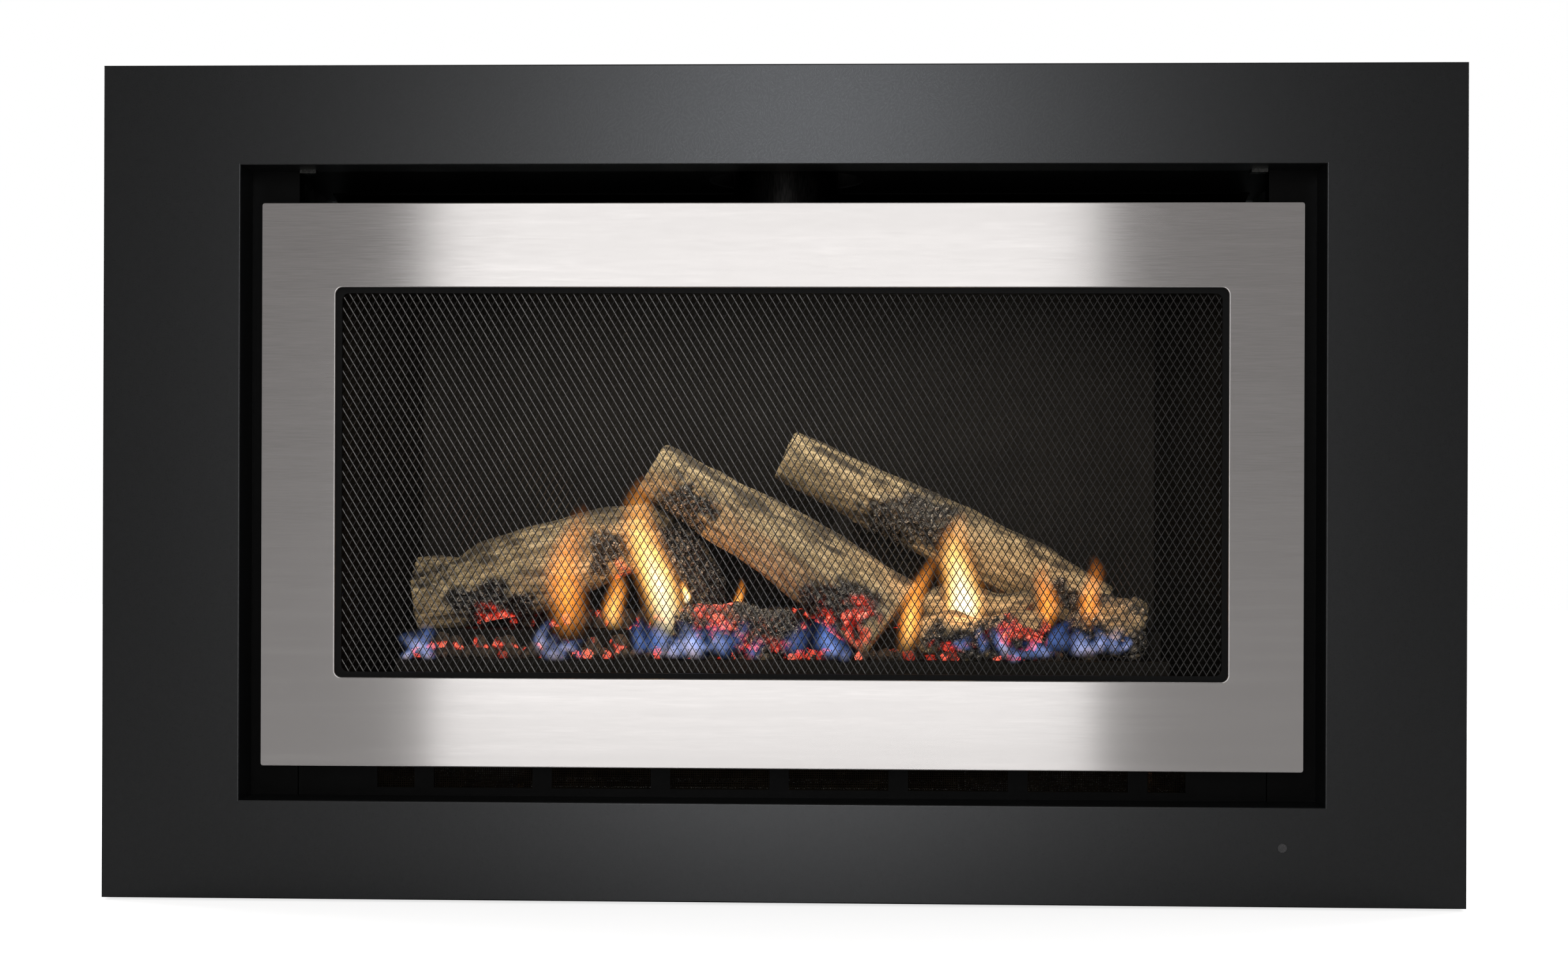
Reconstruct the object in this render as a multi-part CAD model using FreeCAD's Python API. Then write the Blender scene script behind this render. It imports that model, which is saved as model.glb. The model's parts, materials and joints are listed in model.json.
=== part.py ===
import FreeCAD, Part
import math
import os
import random

# In-built gas log fire. Millimetres, +X right, front faces -Y, +Z up, floor at Z = 0.

V = FreeCAD.Vector
AXIS_X = V(1, 0, 0)
AXIS_Y = V(0, 1, 0)
AXIS_Z = V(0, 0, 1)

# Overall
overall_depth = 385.0
cut_overrun = 5.0

# Fascia
fascia_width = 1170.0
fascia_height = 719.0
fascia_floor_gap = 2.0
fascia_sheet = 1.6
fascia_outer_return = 22.0
fascia_bend_radius = 1.2
fascia_side_border = 119.5
fascia_bottom_border = 85.0
fascia_top_border = 86.0
engine_setback = 42.0
lens_radius = 3.9
lens_clearance = 0.2
lens_length = 9.0
lens_side_inset = 155.5
lens_height = 52.5
receiver_width = 26.0
receiver_height = 20.0
receiver_depth = 14.0

# Dress frame, hem and mesh
frame_side_gap = 17.0
frame_bottom_gap = 29.0
frame_top_gap = 32.0
frame_setback = 6.0
frame_sheet = 1.2
frame_return = 18.0
frame_corner_radius = 2.5
frame_edge_radius = 1.0
frame_side_border = 64.5
frame_bottom_border = 77.0
frame_top_border = 73.0
window_corner_radius = 6.0
window_lip_depth = 6.0
hem_inset = 4.5
hem_outset = 8.0
hem_thickness = 3.0
mesh_thickness = 1.0
mesh_columns = 24
mesh_rows = 12
mesh_strand = 2.4
mesh_rim = 10.0
pin_radius = 4.0
pin_length = 57.0
pin_side_inset = 12.5
pin_end_inset = 60.0
pin_clearance = 0.06
bush_wall = 3.0
bush_flange = 3.0
bush_flange_thickness = 2.0
bush_length = 16.0
hole_clearance = 0.3

# Casing
casing_side_margin = 4.5
casing_head_margin = 20.0
casing_sheet = 1.2
casing_flange = 14.0
screw_head_radius = 4.2
screw_head_height = 2.2
screw_shank_radius = 1.9
screw_shank_length = 6.0
screw_rows = 4
post_width = 44.8
post_return = 18.0
shelf_drop = 43.0
shelf_rear_lip = 2.8
outlet_lip = 18.0
clip_width = 14.0
clip_depth = 12.0
clip_thickness = 3.0
clip_inset = 3.0
base_bolt_radius = 4.5
base_bolt_spacing_x = 560.0
base_bolt_spacing_y = 200.0

# Intake grille
grille_window_width = 87.0
grille_window_height = 34.0
grille_window_bottom = 94.0
grille_pitch = 104.0
grille_end_margin = 40.0
grille_end_window_width = 33.0
grille_side_clearance = 1.0
net_thickness = 0.8
net_rim = 4.0
net_wire = 1.6
net_columns = 16
net_end_columns = 6
net_rows = 2

# Firebox and glass
firebox_sheet = 2.0
front_frame_flange = 8.0
firebox_splay = 55.0
firebox_front_setback = 64.0
firebox_rear_gap = 82.8
firebox_floor_rise = 30.0
outlet_height = 80.0
front_frame_thickness = 2.0
front_frame_rise = 10.0
glass_side_flange = 20.0
glass_sill_drop = 17.0
glass_head_drop = 23.0
gasket_width = 12.0
gasket_thickness = 4.0
glass_thickness = 5.0
glass_margin = 10.0
retainer_thickness = 3.0
retainer_inset = 3.0
retainer_outset = 24.0
deflector_thickness = 1.5
deflector_radius = 60.0

# Flue
flue_rear_inset = 65.0
flue_inner_radius = 50.0
throat_clearance = 8.0
throat_gasket_lap = 5.0
throat_gasket_thickness = 3.0
flue_inner_rise = 63.0
flue_outer_radius = 75.0
flue_outer_height = 52.0
flue_sheet = 1.2
flue_flange = 18.0

# Burner
tray_side_gap = 15.0
tray_front_setback = 80.0
tray_rear_gap = 40.0
tray_front_ledge = 60.0
tray_front_height = 23.0
tray_rear_height = 46.0
tray_sheet = 1.5
port_length = 40.0
port_width = 4.0
port_count = 12
tube_radius = 8.0
tube_wall = 1.2
tube_rise = 11.0
manifold_gap = 12.0
manifold_width = 18.0
manifold_height = 20.0
manifold_end_margin = 12.0
injector_radius = 4.0
injector_nose = 8.0
electrode_radius = 1.5
electrode_height = 52.0
insulator_radius = 5.0
insulator_height = 30.0
electrode_spacing = 26.0
electrode_setback = 18.0

# Logs and coals
log_radius = 35.0
log_sides = 12
pile_height = 190.0
stand_width = 18.0
stand_thickness = 8.0
stand_share = 0.16
stand_reach = 130.0
coal_radius = 12.0
coal_height = 22.0
coal_pitch = 25.0
coal_clearance = 0.4
coal_jitter = 3.0
coal_sides = 6
coal_radius_shares = (0.7, 0.95)
coal_height_shares = (0.6, 1.0)
coal_ring_shares = ((0.0, 0.85), (0.45, 1.0), (1.0, 0.55))

# Gas train
valve_feed_inset = 15.7
valve_depth = 58.0
valve_height = 48.0
valve_setback = 104.0
inlet_height = 26.0
inlet_thread_radius = 10.48
inlet_thread_length = 18.0
inlet_nut_radius = 15.0
inlet_nut_width = 10.0
coil_radius = 15.0
coil_height = 36.0
coil_cap = 8.0
plunger_radius = 5.0
plunger_clearance = 0.3
plunger_length = 40.0
plunger_seat_depth = 20.0
feed_radius = 6.0
feed_wall = 1.0

# Convection fan
fan_rear_gap = 56.8
fan_height = 62.0
fan_left = 250.0
fan_right = 170.0
fan_radius = 36.0
fan_blade_depth = 8.0
fan_blade_thickness = 1.0
fan_blades = 24
fan_disc = 2.0
fan_end_gap = 5.0
scroll_gap = 6.0
scroll_sheet = 1.2
scroll_plate_half = 50.0
shaft_radius = 4.0
shaft_clearance = 0.05
bearing_radius = 11.0
bearing_width = 12.0
bearing_flange = 4.0
bearing_flange_thickness = 3.0
motor_radius = 36.0
motor_length = 70.0
motor_bore_depth = 50.0
shaft_end_gap = 4.0

# Controls
box_side_gap = 16.8
box_width = 150.0
box_setback = 78.0
box_depth = 120.0
box_height = 80.0
box_sheet = 1.5
standoff_radius = 3.0
standoff_height = 6.0
standoff_inset = 12.0
board_inset = 5.0
board_thickness = 1.6
relay_size = 18.0
relay_count = 3
gland_height = 50.0
gland_radius = 9.0
gland_nut_radius = 12.0
gland_nut_width = 6.0
gland_length = 20.0
gland_bore = 3.75

# Places worked out from the sizes above
front_y = -overall_depth / 2
rear_y = overall_depth / 2
engine_y = front_y + engine_setback
casing_rear_y = rear_y - screw_head_height
fascia_half = fascia_width / 2
fascia_top = fascia_floor_gap + fascia_height
opening_half = fascia_half - fascia_side_border
opening_sill = fascia_floor_gap + fascia_bottom_border
opening_head = fascia_top - fascia_top_border
lens_x = fascia_half - lens_side_inset
frame_half = opening_half - frame_side_gap
frame_bottom = opening_sill + frame_bottom_gap
frame_top = opening_head - frame_top_gap
frame_y = front_y + frame_setback
window_half = frame_half - frame_side_border
window_bottom = frame_bottom + frame_bottom_border
window_top = frame_top - frame_top_border
lip_end_y = frame_y + window_lip_depth
hem_end_y = lip_end_y + hem_thickness
casing_half = opening_half + casing_side_margin
casing_height = opening_head + casing_head_margin
post_outer = casing_half - casing_sheet
post_inner = post_outer - post_width
panel_half = post_inner - grille_side_clearance
shelf_height = window_bottom - shelf_drop
firebox_front_half = panel_half - front_frame_flange
firebox_rear_half = firebox_front_half - firebox_splay
firebox_front_y = front_y + firebox_front_setback
firebox_rear_y = casing_rear_y - firebox_rear_gap
firebox_floor_height = shelf_height + firebox_floor_rise
firebox_roof_height = casing_height - outlet_height
glass_opening_half = firebox_front_half - glass_side_flange
glass_opening_bottom = window_bottom - glass_sill_drop
glass_opening_top = firebox_roof_height - glass_head_drop
gasket_y = firebox_front_y - front_frame_thickness - gasket_thickness
glass_y = gasket_y - glass_thickness
flue_y = firebox_rear_y - flue_rear_inset
tray_half_width = min(firebox_front_half, firebox_rear_half) - tray_side_gap
tray_front_y = front_y + tray_front_setback
tray_depth = firebox_rear_y - tray_rear_gap - tray_front_y
tray_base = firebox_floor_height + firebox_sheet
tray_low_top = tray_base + tray_front_height
tray_high_top = tray_base + tray_rear_height
manifold_right = tray_half_width - tray_sheet
manifold_left = manifold_right - manifold_width
feed_x = manifold_left + manifold_width / 2
valve_y = front_y + valve_setback
valve_mid_y = valve_y + valve_depth / 2
valve_right = casing_half - casing_sheet
valve_left = feed_x - valve_feed_inset
valve_length = valve_right - valve_left
valve_top = casing_sheet + valve_height
fan_y = casing_rear_y - fan_rear_gap
box_left = casing_half - casing_sheet - box_side_gap
box_y = front_y + box_setback
gland_y = box_y + box_depth / 2
coil_x_shares = (0.56, 0.84)
tube_y_shares = (0.22, 0.62)


def box(x0, x1, y0, y1, z0, z1):
    return Part.makeBox(x1 - x0, y1 - y0, z1 - z0, V(x0, y0, z0))


def rod(radius, start, axis, length):
    return Part.makeCylinder(radius, length, start, axis)


def tube(outer, inner, start, axis, length):
    return rod(outer, start, axis, length).cut(rod(inner, start, axis, length))


def prism(points, height):
    """Upright prism on a closed outline of floor points."""
    face = Part.Face(Part.makePolygon(points + points[:1]))
    return face.extrude(V(0, 0, height))


def join(shapes):
    return shapes[0].multiFuse(shapes[1:]).removeSplitter()


def group(shapes):
    return Part.makeCompound(shapes)


def rounded_block(half, y0, y1, z0, z1, radius):
    """Block with its four edges along Y rounded."""
    block = box(-half, half, y0, y1, z0, z1)
    along_y = [e for e in block.Edges if abs(e.tangentAt(e.FirstParameter).y) > 0.5]
    return block.makeFillet(radius, along_y)


def soften_front(shape, plane_y, radius):
    """Rounds the edges of the face that looks to the front."""
    tiny = cut_overrun / 1000
    edges = [e for e in shape.Edges if e.BoundBox.YMax < plane_y + tiny]
    return shape.makeFillet(radius, edges)


def mirror_x(shape):
    return shape.mirror(V(0, 0, 0), AXIS_X)


# Fascia


def fascia_panel():
    sheet = fascia_sheet
    tray = box(-fascia_half, fascia_half, front_y, front_y + fascia_outer_return,
               fascia_floor_gap, fascia_top)
    hollow = box(-fascia_half + sheet, fascia_half - sheet, front_y + sheet,
                 front_y + fascia_outer_return + cut_overrun, fascia_floor_gap + sheet, fascia_top - sheet)
    collar = box(-opening_half - sheet, opening_half + sheet, front_y, engine_y,
                 opening_sill - sheet, opening_head + sheet)
    hole = box(-opening_half, opening_half, front_y - cut_overrun, engine_y + cut_overrun,
               opening_sill, opening_head)
    shell = join([tray.cut(hollow), collar]).cut(hole)
    shell = soften_front(shell, front_y, fascia_bend_radius)
    lens_hole = rod(lens_radius + lens_clearance, V(lens_x, front_y - cut_overrun, lens_height),
                    AXIS_Y, fascia_sheet + 2 * cut_overrun)
    return shell.cut(lens_hole)


def fascia_clips():
    """Bright tabs under the head of the outlet that hold the fascia's top fold."""
    clips = []
    for side in (-1, 1):
        centre = side * (post_inner - clip_inset - clip_width / 2)
        clips.append(box(centre - clip_width / 2, centre + clip_width / 2, engine_y - clip_depth, engine_y,
                         opening_head - clip_thickness, opening_head))
    return group(clips)


def receiver_lens():
    return rod(lens_radius, V(lens_x, front_y, lens_height), AXIS_Y, lens_length)


def receiver_housing():
    inside = front_y + fascia_sheet
    body = box(lens_x - receiver_width / 2, lens_x + receiver_width / 2, inside, inside + receiver_depth,
               lens_height - receiver_height / 2, lens_height + receiver_height / 2)
    return body.cut(rod(lens_radius, V(lens_x, front_y, lens_height), AXIS_Y, lens_length))


# Dress frame


def dress_frame():
    sheet = frame_sheet
    outer = rounded_block(frame_half, frame_y, frame_y + frame_return, frame_bottom, frame_top,
                          frame_corner_radius)
    hollow = rounded_block(frame_half - sheet, frame_y + sheet, frame_y + frame_return + cut_overrun,
                           frame_bottom + sheet, frame_top - sheet, frame_corner_radius - sheet)
    lip = rounded_block(window_half + sheet, frame_y, lip_end_y, window_bottom - sheet, window_top + sheet,
                        window_corner_radius + sheet)
    hole = rounded_block(window_half, frame_y - cut_overrun, lip_end_y + cut_overrun, window_bottom,
                         window_top, window_corner_radius)
    shell = join([outer.cut(hollow), lip]).cut(hole)
    return soften_front(shell, frame_y, frame_edge_radius)


def mesh_hem():
    """Dark folded strip that grips the edge of the mesh."""
    outer = rounded_block(window_half + hem_outset, lip_end_y, hem_end_y, window_bottom - hem_outset,
                          window_top + hem_outset, window_corner_radius + hem_outset)
    inner = rounded_block(window_half - hem_inset, lip_end_y - cut_overrun, hem_end_y + cut_overrun,
                          window_bottom + hem_inset, window_top - hem_inset, window_corner_radius)
    return outer.cut(inner)


def guard_mesh():
    """Flat net of diamonds, made as one face with holes."""
    half = window_half + hem_outset
    low = window_bottom - hem_outset
    high = window_top + hem_outset
    column = 2 * (half - mesh_rim) / mesh_columns
    row = (high - low - 2 * mesh_rim) / mesh_rows
    outline = Part.makePolygon([V(-half, hem_end_y, low), V(half, hem_end_y, low), V(half, hem_end_y, high),
                                V(-half, hem_end_y, high), V(-half, hem_end_y, low)])
    wires = [outline]
    for i in range(mesh_columns):
        for j in range(mesh_rows):
            x = -half + mesh_rim + (i + 0.5) * column
            z = low + mesh_rim + (j + 0.5) * row
            a = (column - mesh_strand) / 2
            b = (row - mesh_strand) / 2
            wires.append(Part.makePolygon([V(x - a, hem_end_y, z), V(x, hem_end_y, z - b),
                                           V(x + a, hem_end_y, z), V(x, hem_end_y, z + b),
                                           V(x - a, hem_end_y, z)]))
    return Part.Face(wires, "Part::FaceMakerCheese").extrude(V(0, mesh_thickness, 0))


def pin_places():
    return [(side * (frame_half - pin_side_inset), z) for side in (-1, 1)
            for z in (frame_bottom + pin_end_inset, frame_top - pin_end_inset)]


def guard_pins():
    start = frame_y + frame_sheet
    return group([rod(pin_radius, V(x, start, z), AXIS_Y, pin_length) for x, z in pin_places()])


def guard_bushes():
    """Flanged bushes in the posts that the guard's pins run in."""
    bushes = []
    inside = engine_y + casing_sheet
    outer = pin_radius + bush_wall
    for x, z in pin_places():
        sleeve = rod(outer, V(x, engine_y, z), AXIS_Y, bush_length)
        flange = rod(outer + bush_flange, V(x, inside, z), AXIS_Y, bush_flange_thickness)
        bore = rod(pin_radius + pin_clearance, V(x, engine_y - cut_overrun, z), AXIS_Y,
                   bush_length + 2 * cut_overrun)
        bushes.append(join([sleeve, flange]).cut(bore))
    return group(bushes)


# Casing


def back_screw_places():
    x = casing_half - casing_flange / 2
    span = casing_height - 2 * casing_flange
    heights = [casing_flange + span * i / (screw_rows - 1) for i in range(screw_rows)]
    return [(side * x, z) for side in (-1, 1) for z in heights]


def back_screw_holes():
    start = casing_rear_y - screw_shank_length - cut_overrun
    length = screw_shank_length + 2 * cut_overrun
    return group([rod(screw_shank_radius, V(x, start, z), AXIS_Y, length) for x, z in back_screw_places()])


def casing_screws():
    screws = []
    start = casing_rear_y - screw_shank_length
    for x, z in back_screw_places():
        shank = rod(screw_shank_radius, V(x, start, z), AXIS_Y, screw_shank_length)
        head = rod(screw_head_radius, V(x, casing_rear_y, z), AXIS_Y, screw_head_height)
        screws.append(join([shank, head]))
    return group(screws)


def base_pan():
    pan = box(-casing_half, casing_half, engine_y, casing_rear_y, 0, casing_sheet)
    middle = (engine_y + casing_rear_y) / 2
    for sx in (-1, 1):
        for sy in (-1, 1):
            place = V(sx * base_bolt_spacing_x / 2, middle + sy * base_bolt_spacing_y / 2, -cut_overrun)
            pan = pan.cut(rod(base_bolt_radius, place, AXIS_Z, casing_sheet + 2 * cut_overrun))
    return pan


def casing_right_blank():
    low = casing_sheet
    high = casing_height - casing_sheet
    inner_rear = casing_rear_y - casing_sheet
    plate = box(casing_half - casing_sheet, casing_half, engine_y, inner_rear, low, high)
    flange = box(casing_half - casing_flange, casing_half, inner_rear - casing_sheet, inner_rear, low, high)
    return join([plate, flange]).cut(back_screw_holes())


def casing_right():
    hole = rod(inlet_thread_radius + hole_clearance,
               V(valve_right - cut_overrun, valve_mid_y, casing_sheet + inlet_height),
               AXIS_X, casing_sheet + 2 * cut_overrun)
    return casing_right_blank().cut(hole)


def casing_left():
    hole = rod(gland_radius + hole_clearance, V(-casing_half - cut_overrun, gland_y, gland_height), AXIS_X,
               casing_sheet + 2 * cut_overrun)
    return mirror_x(casing_right_blank()).cut(hole)


def casing_back():
    plate = box(-casing_half, casing_half, casing_rear_y - casing_sheet, casing_rear_y,
                casing_sheet, casing_height - casing_sheet)
    return plate.cut(back_screw_holes())


def casing_top():
    plate = box(-casing_half, casing_half, engine_y, casing_rear_y,
                casing_height - casing_sheet, casing_height)
    lip = box(-post_inner, post_inner, engine_y, engine_y + casing_sheet,
              casing_height - outlet_lip, casing_height)
    throat = rod(flue_outer_radius - flue_sheet, V(0, flue_y, casing_height - casing_sheet - cut_overrun),
                 AXIS_Z, casing_sheet + 2 * cut_overrun)
    return join([plate, lip]).cut(throat)


def front_post_right():
    sheet = casing_sheet
    low = casing_sheet
    high = casing_height - casing_sheet
    channel = box(post_inner, post_outer, engine_y, engine_y + post_return, low, high)
    hollow = box(post_inner + sheet, post_outer - sheet, engine_y + sheet,
                 engine_y + post_return + cut_overrun, low - cut_overrun, high + cut_overrun)
    holes = [rod(pin_radius + bush_wall + hole_clearance, V(x, engine_y - cut_overrun, z), AXIS_Y,
                 sheet + 2 * cut_overrun) for x, z in pin_places() if x > 0]
    return channel.cut(hollow).cut(group(holes))


def front_post_left():
    return mirror_x(front_post_right())


def shelf_plate():
    front = engine_y + casing_sheet
    behind = engine_y + post_return
    rear = firebox_rear_y + firebox_sheet + shelf_rear_lip
    half = panel_half
    outline = [V(-half, front, shelf_height), V(half, front, shelf_height), V(half, behind, shelf_height),
               V(post_outer, behind, shelf_height), V(post_outer, rear, shelf_height),
               V(-post_outer, rear, shelf_height), V(-post_outer, behind, shelf_height),
               V(-half, behind, shelf_height)]
    return prism(outline, casing_sheet).cut(feed_hole(shelf_height))


def outlet_deflector():
    """Quarter-round sheet in the top rear corner that turns the air to the front."""
    half = casing_half - casing_flange - hole_clearance
    start = V(-half, casing_rear_y - casing_sheet - deflector_radius,
              casing_height - casing_sheet - deflector_radius)
    ring = tube(deflector_radius, deflector_radius - deflector_thickness, start, AXIS_X, 2 * half)
    corner = box(-half, half, start.y, start.y + deflector_radius, start.z, start.z + deflector_radius)
    return ring.common(corner)


# Intake grille


def grille_windows_list():
    """Middle and width of each window, from left to right."""
    post = grille_pitch - grille_window_width
    room = 2 * (panel_half - grille_end_margin - grille_end_window_width - post) + post
    count = int(room // grille_pitch)
    middles = [((i - (count - 1) / 2) * grille_pitch, grille_window_width) for i in range(count)]
    end = count * grille_pitch / 2 + (grille_end_window_width + post) / 2
    return [(-end, grille_end_window_width)] + middles + [(end, grille_end_window_width)]


def intake_grille():
    half = panel_half
    panel = box(-half, half, engine_y, engine_y + casing_sheet, casing_sheet, shelf_height + casing_sheet)
    for middle, width in grille_windows_list():
        window = box(middle - width / 2, middle + width / 2, engine_y - cut_overrun,
                     engine_y + casing_sheet + cut_overrun, grille_window_bottom,
                     grille_window_bottom + grille_window_height)
        panel = panel.cut(window)
    return panel


def intake_mesh():
    """Net behind the grille, one face with square holes where the windows are."""
    y = engine_y + casing_sheet
    windows = grille_windows_list()
    half = windows[-1][0] + windows[-1][1] / 2 + net_rim
    low = grille_window_bottom - net_rim
    high = grille_window_bottom + grille_window_height + net_rim
    wires = [Part.makePolygon([V(-half, y, low), V(half, y, low), V(half, y, high), V(-half, y, high),
                               V(-half, y, low)])]
    row = grille_window_height / net_rows
    for middle, width in windows:
        columns = net_columns if width > grille_end_window_width else net_end_columns
        column = width / columns
        for i in range(columns):
            for j in range(net_rows):
                x0 = middle - width / 2 + i * column + net_wire / 2
                x1 = x0 + column - net_wire
                z0 = grille_window_bottom + j * row + net_wire / 2
                z1 = z0 + row - net_wire
                wires.append(Part.makePolygon([V(x0, y, z0), V(x1, y, z0), V(x1, y, z1), V(x0, y, z1),
                                               V(x0, y, z0)]))
    return Part.Face(wires, "Part::FaceMakerCheese").extrude(V(0, net_thickness, 0))


# Firebox and glass


def firebox_outline(half_front, half_rear, rear_y_edge, z):
    return [V(-half_front, firebox_front_y, z), V(half_front, firebox_front_y, z),
            V(half_rear, rear_y_edge, z), V(-half_rear, rear_y_edge, z)]


def firebox_right_wall():
    low = shelf_height + casing_sheet
    outline = [V(firebox_front_half, firebox_front_y, low),
               V(firebox_front_half + firebox_sheet, firebox_front_y, low),
               V(firebox_rear_half + firebox_sheet, firebox_rear_y, low),
               V(firebox_rear_half, firebox_rear_y, low)]
    return prism(outline, firebox_roof_height - low)


def firebox_left_wall():
    return mirror_x(firebox_right_wall())


def firebox_back():
    half = firebox_rear_half + firebox_sheet
    return box(-half, half, firebox_rear_y, firebox_rear_y + firebox_sheet,
               shelf_height + casing_sheet, firebox_roof_height)


def firebox_floor():
    outline = firebox_outline(firebox_front_half, firebox_rear_half, firebox_rear_y, firebox_floor_height)
    return prism(outline, firebox_sheet).cut(feed_hole(firebox_floor_height))


def firebox_roof():
    outline = firebox_outline(firebox_front_half + firebox_sheet, firebox_rear_half + firebox_sheet,
                              firebox_rear_y + firebox_sheet, firebox_roof_height)
    start = V(0, flue_y, firebox_roof_height - cut_overrun)
    throat = rod(flue_inner_radius + throat_clearance, start, AXIS_Z, firebox_sheet + 2 * cut_overrun)
    return prism(outline, firebox_sheet).cut(throat)


def glass_block(margin, y0, y1):
    half = glass_opening_half + margin
    return box(-half, half, y0, y1, glass_opening_bottom - margin, glass_opening_top + margin)


def firebox_front_frame():
    y0 = firebox_front_y - front_frame_thickness
    plate = box(-panel_half, panel_half, y0, firebox_front_y, shelf_height + casing_sheet,
                firebox_roof_height + front_frame_rise)
    return plate.cut(glass_block(0, y0 - cut_overrun, firebox_front_y + cut_overrun))


def glass_gasket():
    y1 = gasket_y + gasket_thickness
    sight = glass_block(0, gasket_y - cut_overrun, y1 + cut_overrun)
    return glass_block(gasket_width, gasket_y, y1).cut(sight)


def glass_panel():
    return glass_block(glass_margin, glass_y, gasket_y)


def glass_retainer():
    """Channel-shaped frame that clamps the glass to the firebox front."""
    y0 = glass_y - retainer_thickness
    y1 = firebox_front_y - front_frame_thickness
    block = glass_block(retainer_outset, y0, y1)
    hollow = glass_block(retainer_outset - retainer_thickness, glass_y, y1 + cut_overrun)
    sight = glass_block(-retainer_inset, y0 - cut_overrun, y1)
    return block.cut(hollow).cut(sight)


# Flue


def throat_gasket():
    """Flat ring on the roof that seals the gap between the throat and the flue pipe."""
    outer = flue_inner_radius + throat_clearance + throat_gasket_lap
    start = V(0, flue_y, firebox_roof_height + firebox_sheet)
    return tube(outer, flue_inner_radius, start, AXIS_Z, throat_gasket_thickness)


def flue_inner_pipe():
    start = V(0, flue_y, firebox_roof_height)
    return tube(flue_inner_radius, flue_inner_radius - flue_sheet, start, AXIS_Z,
                casing_height + flue_inner_rise - firebox_roof_height)


def flue_collar():
    start = V(0, flue_y, casing_height)
    inner = flue_outer_radius - flue_sheet
    wall = tube(flue_outer_radius, inner, start, AXIS_Z, flue_outer_height)
    flange = tube(flue_outer_radius + flue_flange, inner, start, AXIS_Z, flue_sheet)
    return join([wall, flange])


# Burner


def tube_y(share):
    return tray_front_y + share * tray_depth


def burner_tray():
    """Stepped pan, open below: a low ledge at the front and a high one behind it."""
    sheet = tray_sheet
    step_y = tray_front_y + tray_front_ledge
    end_y = tray_front_y + tray_depth
    half = tray_half_width
    low = box(-half, half, tray_front_y, end_y, tray_base, tray_low_top)
    high = box(-half, half, step_y, end_y, tray_base, tray_high_top)
    low_hollow = box(-half + sheet, half - sheet, tray_front_y + sheet, end_y - sheet,
                     tray_base - cut_overrun, tray_low_top - sheet)
    high_hollow = box(-half + sheet, half - sheet, step_y + sheet, end_y - sheet,
                      tray_base - cut_overrun, tray_high_top - sheet)
    tray = join([low, high]).cut(low_hollow).cut(high_hollow)
    cuts = []
    pitch = 2 * half / port_count
    for i in range(port_count):
        x = -half + (i + 0.5) * pitch
        for share in tube_y_shares:
            y = tube_y(share)
            cuts.append(box(x - port_length / 2, x + port_length / 2, y - port_width / 2, y + port_width / 2,
                            tray_low_top - sheet - cut_overrun, tray_high_top + cut_overrun))
    return tray.cut(group(cuts))


def burner_tubes():
    left = -tray_half_width + tray_sheet
    length = manifold_left - manifold_gap - left
    return group([tube(tube_radius, tube_radius - tube_wall, V(left, tube_y(share), tray_base + tube_rise),
                       AXIS_X, length) for share in tube_y_shares])


def gas_manifold():
    return box(manifold_left, manifold_right, tube_y(tube_y_shares[0]) - manifold_end_margin,
               tube_y(tube_y_shares[1]) + manifold_end_margin, tray_base, tray_base + manifold_height)


def injectors():
    length = manifold_gap + injector_nose
    return group([rod(injector_radius, V(manifold_left - length, tube_y(share), tray_base + tube_rise),
                      AXIS_X, length) for share in tube_y_shares])


def electrode_places():
    y = tray_front_y + tray_depth - electrode_setback
    x = -tray_half_width + electrode_spacing
    return [V(x, y, tray_high_top), V(x + electrode_spacing, y, tray_high_top)]


def electrodes():
    return group([rod(electrode_radius, place, AXIS_Z, electrode_height) for place in electrode_places()])


def electrode_insulators():
    return group([tube(insulator_radius, electrode_radius, place, AXIS_Z, insulator_height)
                  for place in electrode_places()])


# Logs: each row is a point of the spine (across, back, up) and a radius, as shares of the
# tray's half width, the tray's depth, the height of the pile and the log radius.

left_log_shares = (
    (-0.99, 0.45, 0.24, 0.71), (-0.91, 0.45, 0.265, 0.84), (-0.79, 0.45, 0.34, 1.06),
    (-0.643, 0.45, 0.42, 1.20), (-0.497, 0.445, 0.53, 1.03), (-0.377, 0.445, 0.57, 0.96),
    (-0.29, 0.435, 0.48, 0.92), (-0.24, 0.43, 0.30, 0.87), (-0.22, 0.43, 0.10, 0.84))
left_branch_shares = ((-1.0, 0.60, 0.405, 0.36), (-0.905, 0.56, 0.405, 0.38), (-0.79, 0.50, 0.39, 0.35))
middle_log_shares = (
    (-0.345, 0.34, 0.905, 0.74), (-0.17, 0.305, 0.725, 0.87), (0.0, 0.27, 0.53, 0.99),
    (0.14, 0.245, 0.365, 1.12), (0.285, 0.22, 0.18, 1.26))
right_log_shares = (
    (0.0, 0.67, 0.98, 0.72), (0.23, 0.67, 0.78, 0.82), (0.46, 0.655, 0.575, 0.90),
    (0.68, 0.65, 0.385, 0.86), (0.86, 0.64, 0.215, 0.76))
front_centre_log_shares = ((-0.287, 0.11, 0.12, 0.66), (-0.115, 0.10, 0.12, 0.72), (0.05, 0.11, 0.115, 0.66))
front_right_log_shares = ((0.35, 0.11, 0.115, 0.66), (0.52, 0.10, 0.12, 0.72), (0.69, 0.11, 0.12, 0.68))
stub_log_shares = ((0.76, 0.21, 0.14, 0.80), (0.86, 0.20, 0.15, 0.89), (0.955, 0.21, 0.14, 0.82))
back_right_log_shares = ((0.37, 0.43, 0.22, 0.60), (0.52, 0.42, 0.22, 0.66), (0.67, 0.43, 0.215, 0.57))
all_log_shares = (left_log_shares, middle_log_shares, right_log_shares, front_centre_log_shares,
                  front_right_log_shares, stub_log_shares, back_right_log_shares)
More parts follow.
